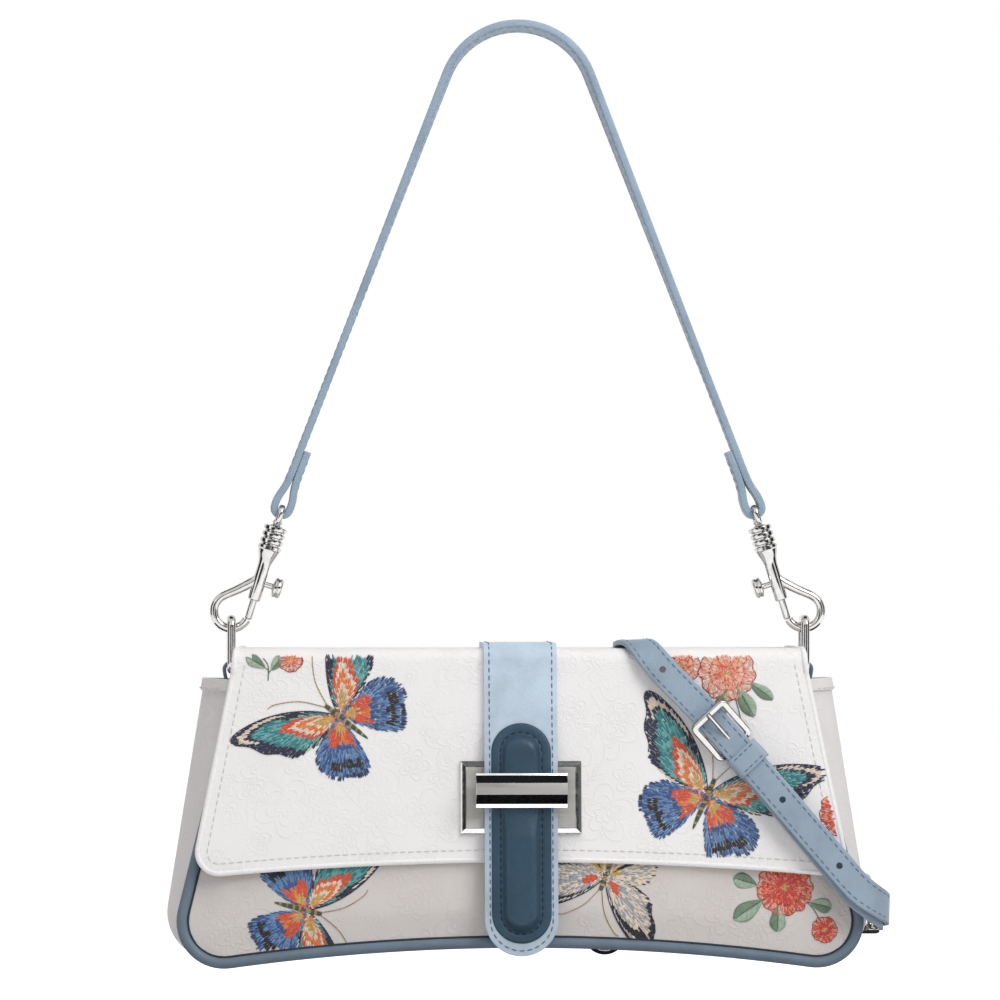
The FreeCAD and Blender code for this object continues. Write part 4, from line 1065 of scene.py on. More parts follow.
fuller = 1.3 * ease(inner / 4) * ease((np.abs(pad_z - BAR_LEVEL) - 8) / 12)
pad_out = PAD_BASE + pad_rise + fuller - pad_sink(pad_z)
strap_pad = flat_piece("strap_pad_leather", front(pad_x, pad_out, pad_z), np.stack([pad_x, pad_z], -1))
thicken(strap_pad, 0.5, -1.0, 0.0)
rides(paint(strap_pad, dark_leather), "flap", "dark_blue_leather", "strap_pad")
groove = PAD_HALF - PAD_SEAM
turn = np.linspace(0, math.pi, 24)
leg = np.linspace(PAD_TOP, PAD_FOOT, 42)[1:-1]
side = np.full(len(leg), groove)
ring_x = np.concatenate([groove * np.cos(turn), -side, -groove * np.cos(turn), side])
ring_z = np.concatenate([PAD_TOP + groove * np.sin(turn), leg, PAD_FOOT - groove * np.sin(turn), leg[::-1]])
ring_line = front(ring_x, PAD_BASE + 0.55 - pad_sink(ring_z), ring_z)
rides(sewing("pad_stitches", seam_places(ring_line, FRONT_OUT, 3.0, (2.2, 0.5, 0.45)), dark_thread), "flap")
print("pad", len(strap_pad.data.polygons), "faces")

# %% [markdown]
# The buckle is a flat plate behind the strap and a bar in front of it, held by two posts. The plate starts as a cube
# whose front is inset twice, up for a sloping rim and down for its face; its top and right rim carry painted dark
# reflection and its lower rim a painted highlight. The bar is a section drawn once and pulled out to its length, so
# that its two facets of painted dark reflection and its lips of painted highlight run clean from end to end. Faces get
# their metal before the edges are bevelled, because the bevel carries it on.


# %% Buckle plate and bar
def block(name, size, place):
    """A cube set to its size in edit mode, in the leaning front's own measure."""
    obj = primitive("cube", name, size=1)
    edit_all(obj)
    bpy.ops.transform.resize(value=size)
    bpy.ops.transform.translate(value=place)
    bpy.ops.object.mode_set(mode="OBJECT")
    return obj


def pick_faces(obj, test):
    """Enter edit mode with just the faces that pass a test of centre and normal."""
    only(obj)
    bpy.ops.object.mode_set(mode="EDIT")
    bpy.ops.mesh.select_mode(type="FACE")
    bpy.ops.mesh.select_all(action="DESELECT")
    bpy.ops.object.mode_set(mode="OBJECT")
    for face in obj.data.polygons:
        face.select = bool(test(face.center, face.normal))
    bpy.ops.object.mode_set(mode="EDIT")


def seat(obj, place):
    """Put a piece drawn in millimetres at its place, in its mesh."""
    obj.data.transform(Matrix.Scale(MM, 4) @ place)
    obj.data.update()
    return obj


PLATE_LEVEL, PLATE_WIDE, PLATE_HIGH, PLATE_FOOT, RIM_WIDE, RIM_RISE = 68.4, 49.0, 29.5, 1.5, 2.1, 0.9
plate = block("buckle_plate_metal", (PLATE_WIDE, PLATE_FOOT, PLATE_HIGH), (0, -FLAP_OUT - PLATE_FOOT / 2, PLATE_LEVEL))
pick_faces(plate, lambda centre, normal: normal.y < -0.9)
bpy.ops.mesh.inset(thickness=RIM_WIDE, depth=RIM_RISE)
bpy.ops.mesh.inset(thickness=0.3, depth=-0.45)
bpy.ops.object.mode_set(mode="OBJECT")
paint(plate, silver, brushed_silver, painted_dark_rim_metal, painted_highlight_silver)
# The plate's face is brushed; its top and right rim get painted dark reflection and its lower rim a painted highlight.
for face in plate.data.polygons:
    up, aside = face.center.z - PLATE_LEVEL, face.center.x
    rim = face.normal.y < -0.5 and max(abs(up) - PLATE_HIGH / 2, abs(aside) - PLATE_WIDE / 2) > -RIM_WIDE
    if face.select:
        face.material_index = 1
    elif rim and (up > PLATE_HIGH / 2 - RIM_WIDE or aside > PLATE_WIDE / 2 - RIM_WIDE):
        face.material_index = 2
    elif rim and up < RIM_WIDE - PLATE_HIGH / 2:
        face.material_index = 3
rides(seat(smooth(bevelled(plate, 0.16, 2, 18), 30), FRONT), "flap", "polished_silver", "buckle_plate")
BAR_BACK, BAR_WIDE = 12.5, 37.0
BAR_SECTION = ((0.0, -7.0), (1.9, -7.0), (2.05, -5.5), (5.0, -1.9), (5.0, 2.8), (2.05, 6.1), (1.85, 7.0), (0.0, 7.0))
bar = from_points("buckle_bar_metal", [(-BAR_WIDE / 2, -BAR_BACK - out, BAR_LEVEL + up) for out, up in BAR_SECTION],
                  [], [range(len(BAR_SECTION))])
edit_all(bar)
bpy.ops.mesh.extrude_region_move(TRANSFORM_OT_translate={"value": (BAR_WIDE, 0, 0)})
leave_outwards()
paint(bar, painted_highlight_silver, satin_silver, painted_dark_reflection_metal)
# The bar's flat front is satin; its two sloped facets are painted dark reflection and its lips and ends painted
# highlight.
for face in bar.data.polygons:
    if face.normal.y < -0.999:
        face.material_index = 1
    elif -0.9 < face.normal.y < -0.5:
        face.material_index = 2
rides(seat(smooth(bevelled(bar, 0.12, 2, 20), 25), FRONT), "flap", "polished_silver", "buckle_bar")
print("plate and bar", len(plate.data.polygons), len(bar.data.polygons), "faces")

# %% [markdown]
# The shoulder strap is one long strip. At each end it goes round the hook's eye and is sewn back on itself, so its
# line starts at the inner lap, goes round the eye, up the leg, over the arch and down to the other lap.

# %% Shoulder strap
STRAP_LEAN, STRAP_WIDE, STRAP_THICK, ARCH_RADIUS = math.radians(21.3), 12.0, 2.9, 31.0
LAP_LONG, LAP_OUT, STRAP_SEAM, STRAP_TWIST = 25.0, 1.5, 4.1, math.radians(11)
PEAK = EYE_LEVEL + (EYE_HALF + LAP_OUT / math.cos(STRAP_LEAN)) / math.tan(STRAP_LEAN)


def leg_point(side, up, out):
    """A point beside a leg: up along it from the eye and out from its middle."""
    return (side * (EYE_HALF - up * math.sin(STRAP_LEAN) + out * math.cos(STRAP_LEAN)), 0.0,
            EYE_LEVEL + up * math.cos(STRAP_LEAN) + out * math.sin(STRAP_LEAN))


lap = [(LAP_LONG, -LAP_OUT), (15.0, -LAP_OUT), (9.0, -1.9), (4.0, -3.0), (0.0, -3.15), (-2.2, -2.3), (-3.15, 0.0),
       (-2.2, 2.3), (0.0, 3.15), (4.0, 3.0), (9.0, 1.9), (15.0, LAP_OUT), (LAP_LONG, LAP_OUT)]
ends = [smooth_line([leg_point(side, up, out) for up, out in lap], 0.9) for side in (-1, 1)]
arch = rounded_line([leg_point(-1, LAP_LONG, LAP_OUT), (0.0, 0.0, PEAK), leg_point(1, LAP_LONG, LAP_OUT)],
                    [0, ARCH_RADIUS, 0], 2.0)
strap_line = np.vstack([ends[0][:-1], arch, ends[1][::-1][1:]])
twist = STRAP_TWIST * np.exp(-(strap_line[:, 0] / 55) ** 2) * (strap_line[:, 2] > EYE_LEVEL + 60)
outward = strap_frames(strap_line, (0, 1, 0))[2]
strap_across = np.array([0, 1, 0]) * np.cos(twist)[:, None] - outward * np.sin(twist)[:, None]
shoulder = strap("shoulder_strap_leather", strap_line, strap_across, STRAP_WIDE, STRAP_THICK, soften=0.6)
rides(paint(shoulder, shoulder_leather, blue_edge), "shoulder_strap", "blue_leather", "shoulder_strap")
strap_place, strap_length = strap_map(strap_line, strap_across)
face_rise, rows = STRAP_THICK / 2 + 0.02, []
for aside in (-STRAP_SEAM, STRAP_SEAM):
    for rise in (-face_rise, face_rise):
        rows.append(sewn_row(strap_place, 46, strap_length - 46, aside, rise, 3.6, (2.5, 0.5, 0.24)))
    for start, end in ((3, 17), (strap_length - 17, strap_length - 3)):
        rows.append(sewn_row(strap_place, start, end, aside, face_rise, 3.4, (2.4, 0.5, 0.45)))
rides(sewing("shoulder_stitches", np.concatenate(rows), pale_blue_thread), "shoulder_strap")
print("shoulder strap", round(strap_length), "mm cut length")

# %% [markdown]
# Each ring is held by a leather loop whose two ends are sewn inside the gusset. The gusset's mouth is bound with a
# turned strip of the same white cloth.

# %% Ring tabs and bound mouth of the gusset
BINDING_RISE, BINDING_WIDE, BINDING_ROWS = 0.7, 5.0, 8
tab_line = [(1.0, -20.0), (1.0, -9.0), (2.0, -4.5), (2.85, 0.0), (2.0, 2.0), (0.0, 2.85), (-2.0, 2.0), (-2.85, 0.0),
            (-2.1, -4.5), (-0.5, -9.0), (-0.5, -20.0)]
for name, side in (("left", -1), ("right", 1)):
    line = smooth_line([(side * (RING_HALF + out), 0.0, RING_LOW + up) for out, up in tab_line], 0.8)
    tab = strap("ring_tab_leather_" + name, line, (0, 1, 0), 10.0, 1.4, 6, soften=0.4)
    rides(paint(tab, piping_leather, piping_leather), "bag", "blue_leather", "ring_tab_" + name)
    end = 0 if side > 0 else -1
    rows = np.stack([strip_net(0.3, 0.4, GUSSET_TOP + BINDING_RISE - drop)[end]
                     for drop in np.linspace(0, BINDING_WIDE, BINDING_ROWS)])
    if side < 0:
        rows = rows[:, ::-1]
    binding = thicken(flat_piece("mouth_binding_" + name, rows, strip_flat(rows)), 1.0, -0.4, 0.35, 3)
    rides(paint(binding, painted_shade_side_cloth), "bag", "white_jacquard")
    mid_row = rows[5] * 0.4 + rows[6] * 0.6 + np.array([side * 0.65, 0, 0])
    mouth_places = seam_places(mid_row[3:-3], (side, 0, 0.1), 3.3, (2.4, 0.55, 0.5))
    rides(sewing("mouth_stitches_" + name, mouth_places, white_thread), "bag")
print("tabs and bindings in")

# %% [markdown]
# The rings, the prong, the posts and the magnets keep their exact hard shapes, because their fits were drawn there.
# They only need their plating.

# %% Plated nodes
for name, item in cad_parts.items():
    if name.startswith(("ring_left", "ring_right", "crossbody_prong", "bar_posts", "magnet_")):
        paint(item, silver)
print("metal nodes plated")

# %% [markdown]
# The crossbody strap comes over the top, turns on to the slant, passes through the buckle frame and its keeper and
# goes round the right side. Its line flows through places on the lid, on the leaning front and round the side, and
# the way across it turns smoothly from the lid's to the slant's. Towards the side it hangs a little slack.

# %% Places for the crossbody strap
CROSS_HALF, CROSS_UP, CROSS_SLANT, CROSS_RUN = 46.0, 132.0, math.radians(46.6), 137.0
CROSS_WIDE, CROSS_THICK, TAIL_RISE, TAIL_END_RISE, ANCHOR_RISE = 12.0, 2.0, 7.2, 5.3, 3.1
SIDE_X, SIDE_UP, TAIL_SAG, ANCHOR_SAG, SAG_FROM, WRAP_STEPS = 143.6, 27.0, 4.0, 5.5, 60.0, 14
FRONT_TURN = np.array(FRONT.to_3x3())
SLANT_WAY = np.array([math.cos(CROSS_SLANT), 0, -math.sin(CROSS_SLANT)])
SLANT_ACROSS = np.array([math.sin(CROSS_SLANT), 0, math.cos(CROSS_SLANT)])


def sagged(along, most):
    """How far the slack strap hangs below its straight line."""
    return most * np.clip((along - SAG_FROM) / (CROSS_RUN - SAG_FROM), 0, 1)


def slant_flat(along, sag):
    """Across and up on the front, at a distance along the slant and a sag below it."""
    return (CROSS_HALF + along * SLANT_WAY[0] - sag * SLANT_ACROSS[0],
            CROSS_UP + along * SLANT_WAY[2] - sag * SLANT_ACROSS[2])


def slant_point(along, rise, sag=0.0):
    """A place above the slant."""
    x, up = slant_flat(along, sag)
    return front(x, FLAP_OUT + rise, up)


def side_wrap(rise, end_rise, sag, places):
    """Round the right side: from the slant, past the corner, then through places of a depth and a level."""
    leave = np.array([CROSS_HALF, -FLAP_OUT, CROSS_UP]) + SLANT_WAY * CROSS_RUN - SLANT_ACROSS * sag
    corner = leave + SLANT_WAY * ((SIDE_X - leave[0]) / SLANT_WAY[0])
    land = np.array([SIDE_X, leave[1] + places[0][0], places[0][1]])
    points, ways_out = [], []
    for part in np.linspace(0, 1, WRAP_STEPS + 1)[1:]:
        base = leave * (1 - part) ** 2 + corner * 2 * part * (1 - part) + land * part ** 2
        way = (corner - leave) * (1 - part) + (land - corner) * part
        way /= np.linalg.norm(way)
        out = np.array([math.sin(part * math.pi / 2), -math.cos(part * math.pi / 2), 0])
        out = out - way * (out @ way)
        out /= np.linalg.norm(out)
        points.append(base + out * (rise * (1 - part) + end_rise * part))
        ways_out.append(out)
    for deep, level, aside, turn in places[1:]:
        points.append(np.array([SIDE_X + end_rise + aside, leave[1] + deep, level]))
        ways_out.append(np.array([math.cos(turn), math.sin(turn), 0]))
    turned = np.array(points) @ FRONT_TURN.T + np.array(FRONT.translation)
    return turned, np.array(ways_out) @ FRONT_TURN.T


print("slant falls", round(math.degrees(CROSS_SLANT), 1), "degrees")

# %% [markdown]
# On the lid the strap lies on the flap's cloth, so places there are counted up the front, over the fold and along the
# lid. The knots are then joined at even steps, and averaging neighbours eases the corners, as stiff leather does.

# %% Line of the crossbody strap
PROFILE_LOW = 20.0
ups = np.linspace(PROFILE_LOW, FLAP_START, 60)[:-1]
top_profile = np.vstack([front(0.0, FLAP_OUT, ups), lid_line[::-1]])[:, 1:]
profile_way = PROFILE_LOW + ways(top_profile)
profile_run = np.gradient(top_profile, axis=0)
profile_run /= np.linalg.norm(profile_run, axis=1)[:, None]


def on_flap_cloth(x, up, rise):
    """A place above the flap, counted up its front, over the fold and along the lid, and the way out there."""
    spot = along_line(profile_way, top_profile, up)
    run = along_line(profile_way, profile_run, up)
    out = np.stack([0 * x, -run[:, 1], run[:, 0]], -1)
    return np.column_stack([x, spot]) + out * rise[:, None], out


def eased_line(points, ways_out, step, reach):
    """Points and outward ways at even steps with their corners eased, and the way across the strap."""
    both = np.hstack([points, ways_out])
    way = ways(points)
    both = along_line(way, both, np.linspace(0, way[-1], int(way[-1] / step) + 1))
    count = max(1, int(reach / step))
    for _ in range(2):
        wide = np.vstack([np.repeat(both[:1], count, 0), both, np.repeat(both[-1:], count, 0)])
        wide[:count] = 2 * both[0] - both[count:0:-1]
        wide[-count:] = 2 * both[-1] - both[-2:-count - 2:-1]
        both = np.stack([wide[i:i + len(both)] for i in range(2 * count + 1)]).mean(0)
    line, out = both[:, :3], both[:, 3:]
    return line, np.cross(out, np.gradient(line, axis=0))


lid_knots = [(46.0, 166.0, 1.3), (45.6, 157.0, 1.3), (45.0, 149.0, 1.3), (44.8, 142.0, 1.7), (45.6, 136.0, 2.6),
             (48.0, 130.5, 3.4), (51.4, 126.3, 3.4)]
slant_rises = [(16, 3.6), (26, 5.2), (38, 7.0)] + [(a, TAIL_RISE) for a in (52, 72, 88, 104, 120, CROSS_RUN)]
slant_knots = [(*slant_flat(a, sagged(a, TAIL_SAG)), rise) for a, rise in slant_rises]
knots, knots_out = on_flap_cloth(*np.array(lid_knots + slant_knots).T)
wrap, wrap_out = side_wrap(TAIL_RISE, TAIL_END_RISE, TAIL_SAG, [(12.0, 23.2), (29.0, 24.0, 0, 0)])
cross_line, cross_across = eased_line(np.vstack([knots, wrap]), np.vstack([knots_out, wrap_out]), 1.3, 4.0)
cross_place, cross_length = strap_map(cross_line, cross_across)
print("crossbody strap", round(cross_length), "mm shown")

# %% [markdown]
# The strap is bent along that line and its buckle holes are punched: four cylinders are joined to one punch, which is
# taken away from the leather. Two rows of stitches follow its edges.

# %% Crossbody strap
HOLE_PITCH, HOLE_FIRST, HOLE_RADIUS, HOLE_COUNT, CROSS_SEAM = 35.4, 17.2, 1.35, 4, 4.3
crossbody = strap("crossbody_strap_leather", cross_line, cross_across, CROSS_WIDE, CROSS_THICK)
hole_along = HOLE_FIRST + HOLE_PITCH * np.arange(HOLE_COUNT)
hole_x = slant_flat(hole_along, sagged(hole_along, TAIL_SAG))[0]
near = [int(np.abs(cross_line[:, 0] - x).argmin()) for x in hole_x]
outward = strap_frames(cross_line, cross_across)[2]
holes = []
for i in near:
    hole = primitive("cylinder", "hole", vertices=20, radius=HOLE_RADIUS * MM, depth=6 * MM,
                     location=cross_line[i] * MM)
    hole.rotation_euler = Vector(outward[i]).to_track_quat("Z", "Y").to_euler()
    holes.append(hole)
punch = join("punch", holes)
finish_with(crossbody, "BOOLEAN", object=punch, operation="DIFFERENCE", solver="EXACT")
bpy.data.objects.remove(punch)
bends_with_flap(paint(smooth(crossbody), strap_leather, blue_edge), "blue_leather", "crossbody_strap")
rows = [sewn_row(cross_place, 3, cross_length - 28, aside, CROSS_THICK / 2 + 0.02, 3.3, (2.3, 0.5, 0.45))
        for aside in (-CROSS_SEAM, CROSS_SEAM)]
bends_with_flap(sewing("crossbody_stitches", np.concatenate(rows), blue_thread))
print("holes at rows", near)

# %% [markdown]
# Under it lies the short anchor strap: doubled round the bar of the buckle frame, along the slant, round the side and
# doubled again round the eye of its end hook. A keeper goes round both layers.

# %% Anchor strap and keeper
BUCKLE_BAR, BAR_LOOP, EYE_DEEP, EYE_LOOP, ANCHOR_THICK = 59.2, 2.35, 33.6, 2.4, 1.6
KEEPER_AT, KEEPER_LONG, KEEPER_LOW, KEEPER_HIGH, KEEPER_HALF = 66.5, 9.0, 1.1, 8.95, 6.85


def band_ring(half, start, end, start_bend, end_bend, step):
    """A flat ring to go round a strap, begun and ended in the middle of one long side."""
    ring = [(0.0, start), (half, start), (half, end), (-half, end), (-half, start), (0.0, start)]
    return rounded_line([(a, b, 0) for a, b in ring], [0, start_bend, end_bend, end_bend, start_bend, 0], step)


across_way, run_way = SLANT_ACROSS @ FRONT_TURN.T, SLANT_WAY @ FRONT_TURN.T
turns = np.linspace(0.2, math.pi - 0.2, 9)
layers = [(76, ANCHOR_RISE - 1.2), (66, ANCHOR_RISE - 1.3)]
layers += [(BUCKLE_BAR - BAR_LOOP * math.sin(a), ANCHOR_RISE - BAR_LOOP * math.cos(a)) for a in turns]
layers += [(64, ANCHOR_RISE + 1.0), (70, ANCHOR_RISE + 0.5)]
layers += [(a, ANCHOR_RISE) for a in (80, 94, 108, 122, CROSS_RUN)]
outs = [-FRONT_OUT] * 2 + [-run_way * math.sin(a) - FRONT_OUT * math.cos(a) for a in turns] + [FRONT_OUT] * 7
places = [(13.0, 21.2), (20.0, 22.4, 0, 0), (28.0, 25.8, 0, 0), (33.0, SIDE_UP, 0.8, 0)]
places += [(EYE_DEEP + FLAP_OUT + EYE_LOOP * math.sin(a), SIDE_UP, EYE_LOOP * math.cos(a), a) for a in turns]
places += [(33.0, SIDE_UP, -1.5, math.pi), (27.0, 25.4, -1.6, math.pi)]
wrap, wrap_out = side_wrap(ANCHOR_RISE, ANCHOR_RISE, ANCHOR_SAG, places)
anchor_knots = np.vstack([[slant_point(along, rise, sagged(along, ANCHOR_SAG)) for along, rise in layers], wrap])
anchor_line, anchor_across = eased_line(anchor_knots, np.vstack([outs, wrap_out]), 0.8, 1.2)
anchor = strap("crossbody_anchor_leather", anchor_line, anchor_across, CROSS_WIDE, ANCHOR_THICK, soften=0.4)
rides(paint(anchor, strap_leather, blue_edge), "flap", "blue_leather", "crossbody_anchor")
flat_ring = band_ring(KEEPER_HALF, KEEPER_LOW, KEEPER_HIGH, 1.2, 1.6, 0.7)
middle = slant_point(KEEPER_AT, 0.0)
keeper_line = middle + flat_ring[:, :1] * across_way + flat_ring[:, 1:2] * FRONT_OUT
keeper = strap("crossbody_keeper_leather", keeper_line, run_way, KEEPER_LONG, 1.0, soften=0.35)
rides(paint(keeper, strap_leather, blue_edge), "flap", "blue_leather", "crossbody_keeper")
keeper_face = middle + across_way * np.linspace(-5.4, 5.4, 12)[:, None] + FRONT_OUT * (KEEPER_HIGH + 0.5)
rows = [seam_places(keeper_face + run_way * shift, FRONT_OUT, 2.7, (2.0, 0.5, 0.45)) for shift in (-3.1, 3.1)]
rides(sewing("keeper_stitches", np.concatenate(rows), blue_thread), "flap")
print("anchor", round(ways(anchor_line)[-1]), "mm and keeper in")

# %% [markdown]
# The buckle frame is a flat polished bar bent to a rounded rectangle. A plane is cut to size, its corners are bevelled
# round, an inset leaves the opening, and thickness and a fine bevel make it a bar. It sits tilted, one side in the
# anchor's loop and the other on top of the strap.

# %% Crossbody buckle frame
FRAME_HALF, FRAME_ACROSS, FRAME_BAR, FRAME_THICK = 8.86, 8.0, 1.3, 2.3
FRAME_AT, FRAME_RISE, FRAME_TILT = 51.0, ANCHOR_RISE + 3.35, math.atan2(6.7, 16.4)
buckle = primitive("plane", "crossbody_buckle_metal", size=2)
edit_all(buckle)
bpy.ops.transform.resize(value=(FRAME_HALF + FRAME_BAR, FRAME_ACROSS + FRAME_BAR, 1))
bpy.ops.mesh.bevel(offset=3.0, segments=6, affect="VERTICES")
bpy.ops.mesh.select_mode(type="FACE")
bpy.ops.mesh.select_all(action="SELECT")
bpy.ops.mesh.inset(thickness=2 * FRAME_BAR)
bpy.ops.mesh.delete(type="FACE")
bpy.ops.object.mode_set(mode="OBJECT")
finish_with(buckle, "SOLIDIFY", thickness=FRAME_THICK, offset=0.0)
bevelled(buckle, 0.6, 3, 40)
slant_frame = Matrix([[SLANT_WAY[0], 0, SLANT_ACROSS[0], CROSS_HALF], [0, 1, 0, -FLAP_OUT],
                      [SLANT_WAY[2], 0, SLANT_ACROSS[2], CROSS_UP], [0, 0, 0, 1]])
buckle_place = (FRONT @ slant_frame @ Matrix.Translation((FRAME_AT, -FRAME_RISE, 0))
                @ Matrix.Rotation(FRAME_TILT, 4, "Z") @ Matrix.Rotation(math.pi / 2, 4, "X"))
paint(seat(smooth(buckle, 35), buckle_place), silver)
rides(buckle, "flap", "polished_silver", "crossbody_buckle")
print("buckle frame", len(buckle.data.polygons), "faces")

# %% [markdown]
# The rest of the long strap is put away behind the bag: folded to and fro in a flat hank, held by a small tie, with
# its hook at the end.

# %% Hank and tie
HANK_HIGH, HANK_LOW, HANK_PITCH, HANK_RUNS, HANK_FIRST = 112.0, 56.0, 2.7, 9, 3.7
HANK_THICK, HANK_EYE, TIE_HALF, TIE_NEAR, TIE_WIDE = 1.9, 2.6, 6.8, 1.9, 14.0
back_corner = over_the_top(HANK_FIRST, 110.0, LID_TOP + 1.3, 8.0, 120.0, 4.0, 1.0)
above = back(0.0, HANK_FIRST, 119.0)[2]
lid_part = back_corner[(back_corner[:, 1] > BAG_Y + 15.5) & (back_corner[:, 2] > above)][::-1]
hank_knots, bends = [(0.0, HANK_FIRST, 118.0)], [0]
for i in range(HANK_RUNS):
    deep = HANK_FIRST + i * HANK_PITCH
    for level in ((HANK_HIGH, HANK_LOW) if i % 2 == 0 else (HANK_LOW, HANK_HIGH)):
        if i or level == HANK_LOW:
            hank_knots.append((0.0, deep, level))
            bends.append(HANK_PITCH / 2)
last = HANK_FIRST + (HANK_RUNS - 1) * HANK_PITCH
runs = rounded_line(hank_knots, bends, 0.9)
hank_line = np.vstack([lid_part + np.array([CROSS_HALF, 0, 0]), back(CROSS_HALF, runs[:, 1], runs[:, 2])])
fold = [back(CROSS_HALF, last + HANK_EYE * math.cos(a), HANK_LOW - HANK_EYE + HANK_EYE * math.sin(a))
        for a in np.linspace(math.pi * 0.75, -math.pi * 1.1, 12)]
hank_line = np.vstack([hank_line[:-3], fold])
hank_line = spaced(hank_line, int(ways(hank_line)[-1] / 0.9))
hank = strap("crossbody_hank_leather", hank_line, (1, 0, 0), CROSS_WIDE, HANK_THICK, 6, soften=0.4)
rides(paint(hank, strap_leather, blue_edge), "bag", "blue_leather", "crossbody_hank")
flat_ring = band_ring(TIE_HALF, last + 1.8, TIE_NEAR, 1.6, 1.2, 0.9)
tie_line = back(CROSS_HALF + flat_ring[:, 0], flat_ring[:, 1], (HANK_HIGH + HANK_LOW) / 2)
tie = strap("hank_tie_leather", tie_line, (0, -math.sin(LEAN), math.cos(LEAN)), TIE_WIDE, 1.0, soften=0.35)
rides(paint(tie, strap_leather, blue_edge), "bag", "blue_leather", "hank_tie")
print("hank", round(ways(hank_line)[-1]), "mm put away")

# %% [markdown]
# A trigger hook is a turned body with a ribbed collar, a bent round loop and a spring bolt with a thumb knob. The body
# and the bolt are half sections spun round an axis, the loop is a tapering round bar, and a slot is cut for the knob's
# stem. One hook is modelled round its own eye, in millimetres.

# %% Trigger hook
RIB, RIB_PITCH, RIB_COUNT, COLLAR_TOP, COLLAR_RADIUS, NECK = 1.95, 2.7, 3, 8.0, 4.8, 3.9
LOOP_DOWN, LOOP_OUT, LOOP_RADIUS, LOOP_WIRE, KNOB_LEVEL = 46.2, 7.4, 7.0, 1.75, -31.8
SPRING_TOP, SPRING_END, SPRING_RADIUS, SPRING_WIRE, SPRING_TURNS, GATE_TRAVEL = 18.8, 29.85, 1.5, 0.25, 9, 6.5


def turned(name, section, axis="Z", steps=24):
    """Spin a half section, given as distance along the axis and radius, round that axis."""
    points = [(r, 0, a) if axis == "Z" else (a, 0, r) for a, r in section]
    obj = from_points(name, points, [(i, i + 1) for i in range(len(points) - 1)], [])
    edit_all(obj)
    bpy.ops.mesh.spin(steps=steps, angle=2 * math.pi, center=(0, 0, 0), axis=(0, 0, 1) if axis == "Z" else (1, 0, 0))
    bpy.ops.mesh.select_all(action="SELECT")
    bpy.ops.mesh.remove_doubles(threshold=0.001)
    leave_outwards()
    return obj


def joined(name, *parts):
    """Metal parts as one piece with its edges kept crisp."""
    return smooth(join(name, parts), 38)


section = [(-COLLAR_TOP + 0.5, 0.0), (-COLLAR_TOP + 0.5, 2.3), (-COLLAR_TOP + 0.2, 2.7), (-COLLAR_TOP, 4.2)]
for i in range(RIB_COUNT):
    top = -COLLAR_TOP - i * RIB_PITCH
    section += [(top, 4.3), (top - 0.25, 4.7), (top - RIB / 2, COLLAR_RADIUS), (top - RIB + 0.25, 4.7),
                (top - RIB, 4.3), (top - RIB - 0.15, NECK), (top - RIB_PITCH + 0.15, NECK)]
section += [(-16.1, 4.2), (-16.4, 4.75), (-17.6, 4.8), (-18.0, 4.45), (-18.4, 4.35), (-19.6, 4.0), (-21.0, 3.45),
            (-22.6, 2.95), (-24.2, 2.72), (-26.0, 2.7), (-38.7, 2.7), (-39.1, 2.55), (-39.3, 2.3), (-39.3, 1.65),
            (-SPRING_TOP, 1.65), (-SPRING_TOP, 0.0)]
hook_body = turned("hook_body", section, steps=36)
knob_slot = block("knob_slot", (6.4, 2.7, 9.2), (-3.2, 0, -28.55))
finish_with(hook_body, "BOOLEAN", object=knob_slot, operation="DIFFERENCE", solver="EXACT")
bpy.data.objects.remove(knob_slot)
sweep = np.radians(np.linspace(50.5, -168.5, 30))
bend = [(LOOP_OUT + LOOP_RADIUS * math.cos(a), 0, -LOOP_DOWN + LOOP_RADIUS * math.sin(a)) for a in sweep]
loop_line = smooth_line([(0.0, 0, -28.0), (2.6, 0, -32.2), (7.3, 0, -36.9)] + bend[::3] + bend[-1:], 0.7)
loop_way = ways(loop_line)
loop_radii = np.interp(loop_way, [0, 7, 16, loop_way[-1] - 3, loop_way[-1]], [1.6, 2.0, LOOP_WIRE, LOOP_WIRE, 1.85])
hook_loop = round_bar("hook_loop", loop_line, loop_radii)
web = flat_piece("hook_web", np.array([[(1.9, 0, -26.5), (3.3, 0, -32.0)], [(2.2, 0, -31.0), (5.2, 0, -34.6)],
                                       [(2.3, 0, -35.6), (7.0, 0, -37.0)]]) / MM)
finish_with(web, "SOLIDIFY", thickness=1.7, offset=0.0)
finish_with(web, "BEVEL", width=0.3, segments=2)
hook_shape = joined("hook_shape", hook_body, hook_loop, web)
turn = np.linspace(0, 2 * math.pi * SPRING_TURNS, SPRING_TURNS * 14 + 1)
coil = SPRING_RADIUS - SPRING_WIRE
coil_level = np.linspace(-SPRING_TOP - SPRING_WIRE, -SPRING_END + SPRING_WIRE, len(turn))
spring_line = np.stack([coil * np.cos(turn), coil * np.sin(turn), coil_level], -1)
spring_shape = smooth(round_bar("spring_shape", spring_line, np.full(len(turn), SPRING_WIRE), sides=1), 60)
bolt = turned("bolt", [(-SPRING_END, 0.0), (-SPRING_END, 1.3), (-30.1, 1.5), (-46.6, 1.5), (-47.2, 1.25), (-47.4, 0.9),
                       (-47.4, 0.0)])
knob = turned("knob", [(0.0, 0.0), (0.0, 1.2), (-5.4, 1.2), (-5.8, 2.2), (-6.1, 3.6), (-6.5, 4.1), (-7.3, 4.2),
                       (-7.5, 3.9), (-7.9, 3.9), (-8.1, 4.2), (-8.9, 4.1), (-9.4, 3.7), (-9.7, 2.9), (-9.7, 0.0)],
              "X", 28)
knob.data.transform(Matrix.Translation((0, 0, KNOB_LEVEL)))
gate_shape = joined("gate_shape", bolt, knob)
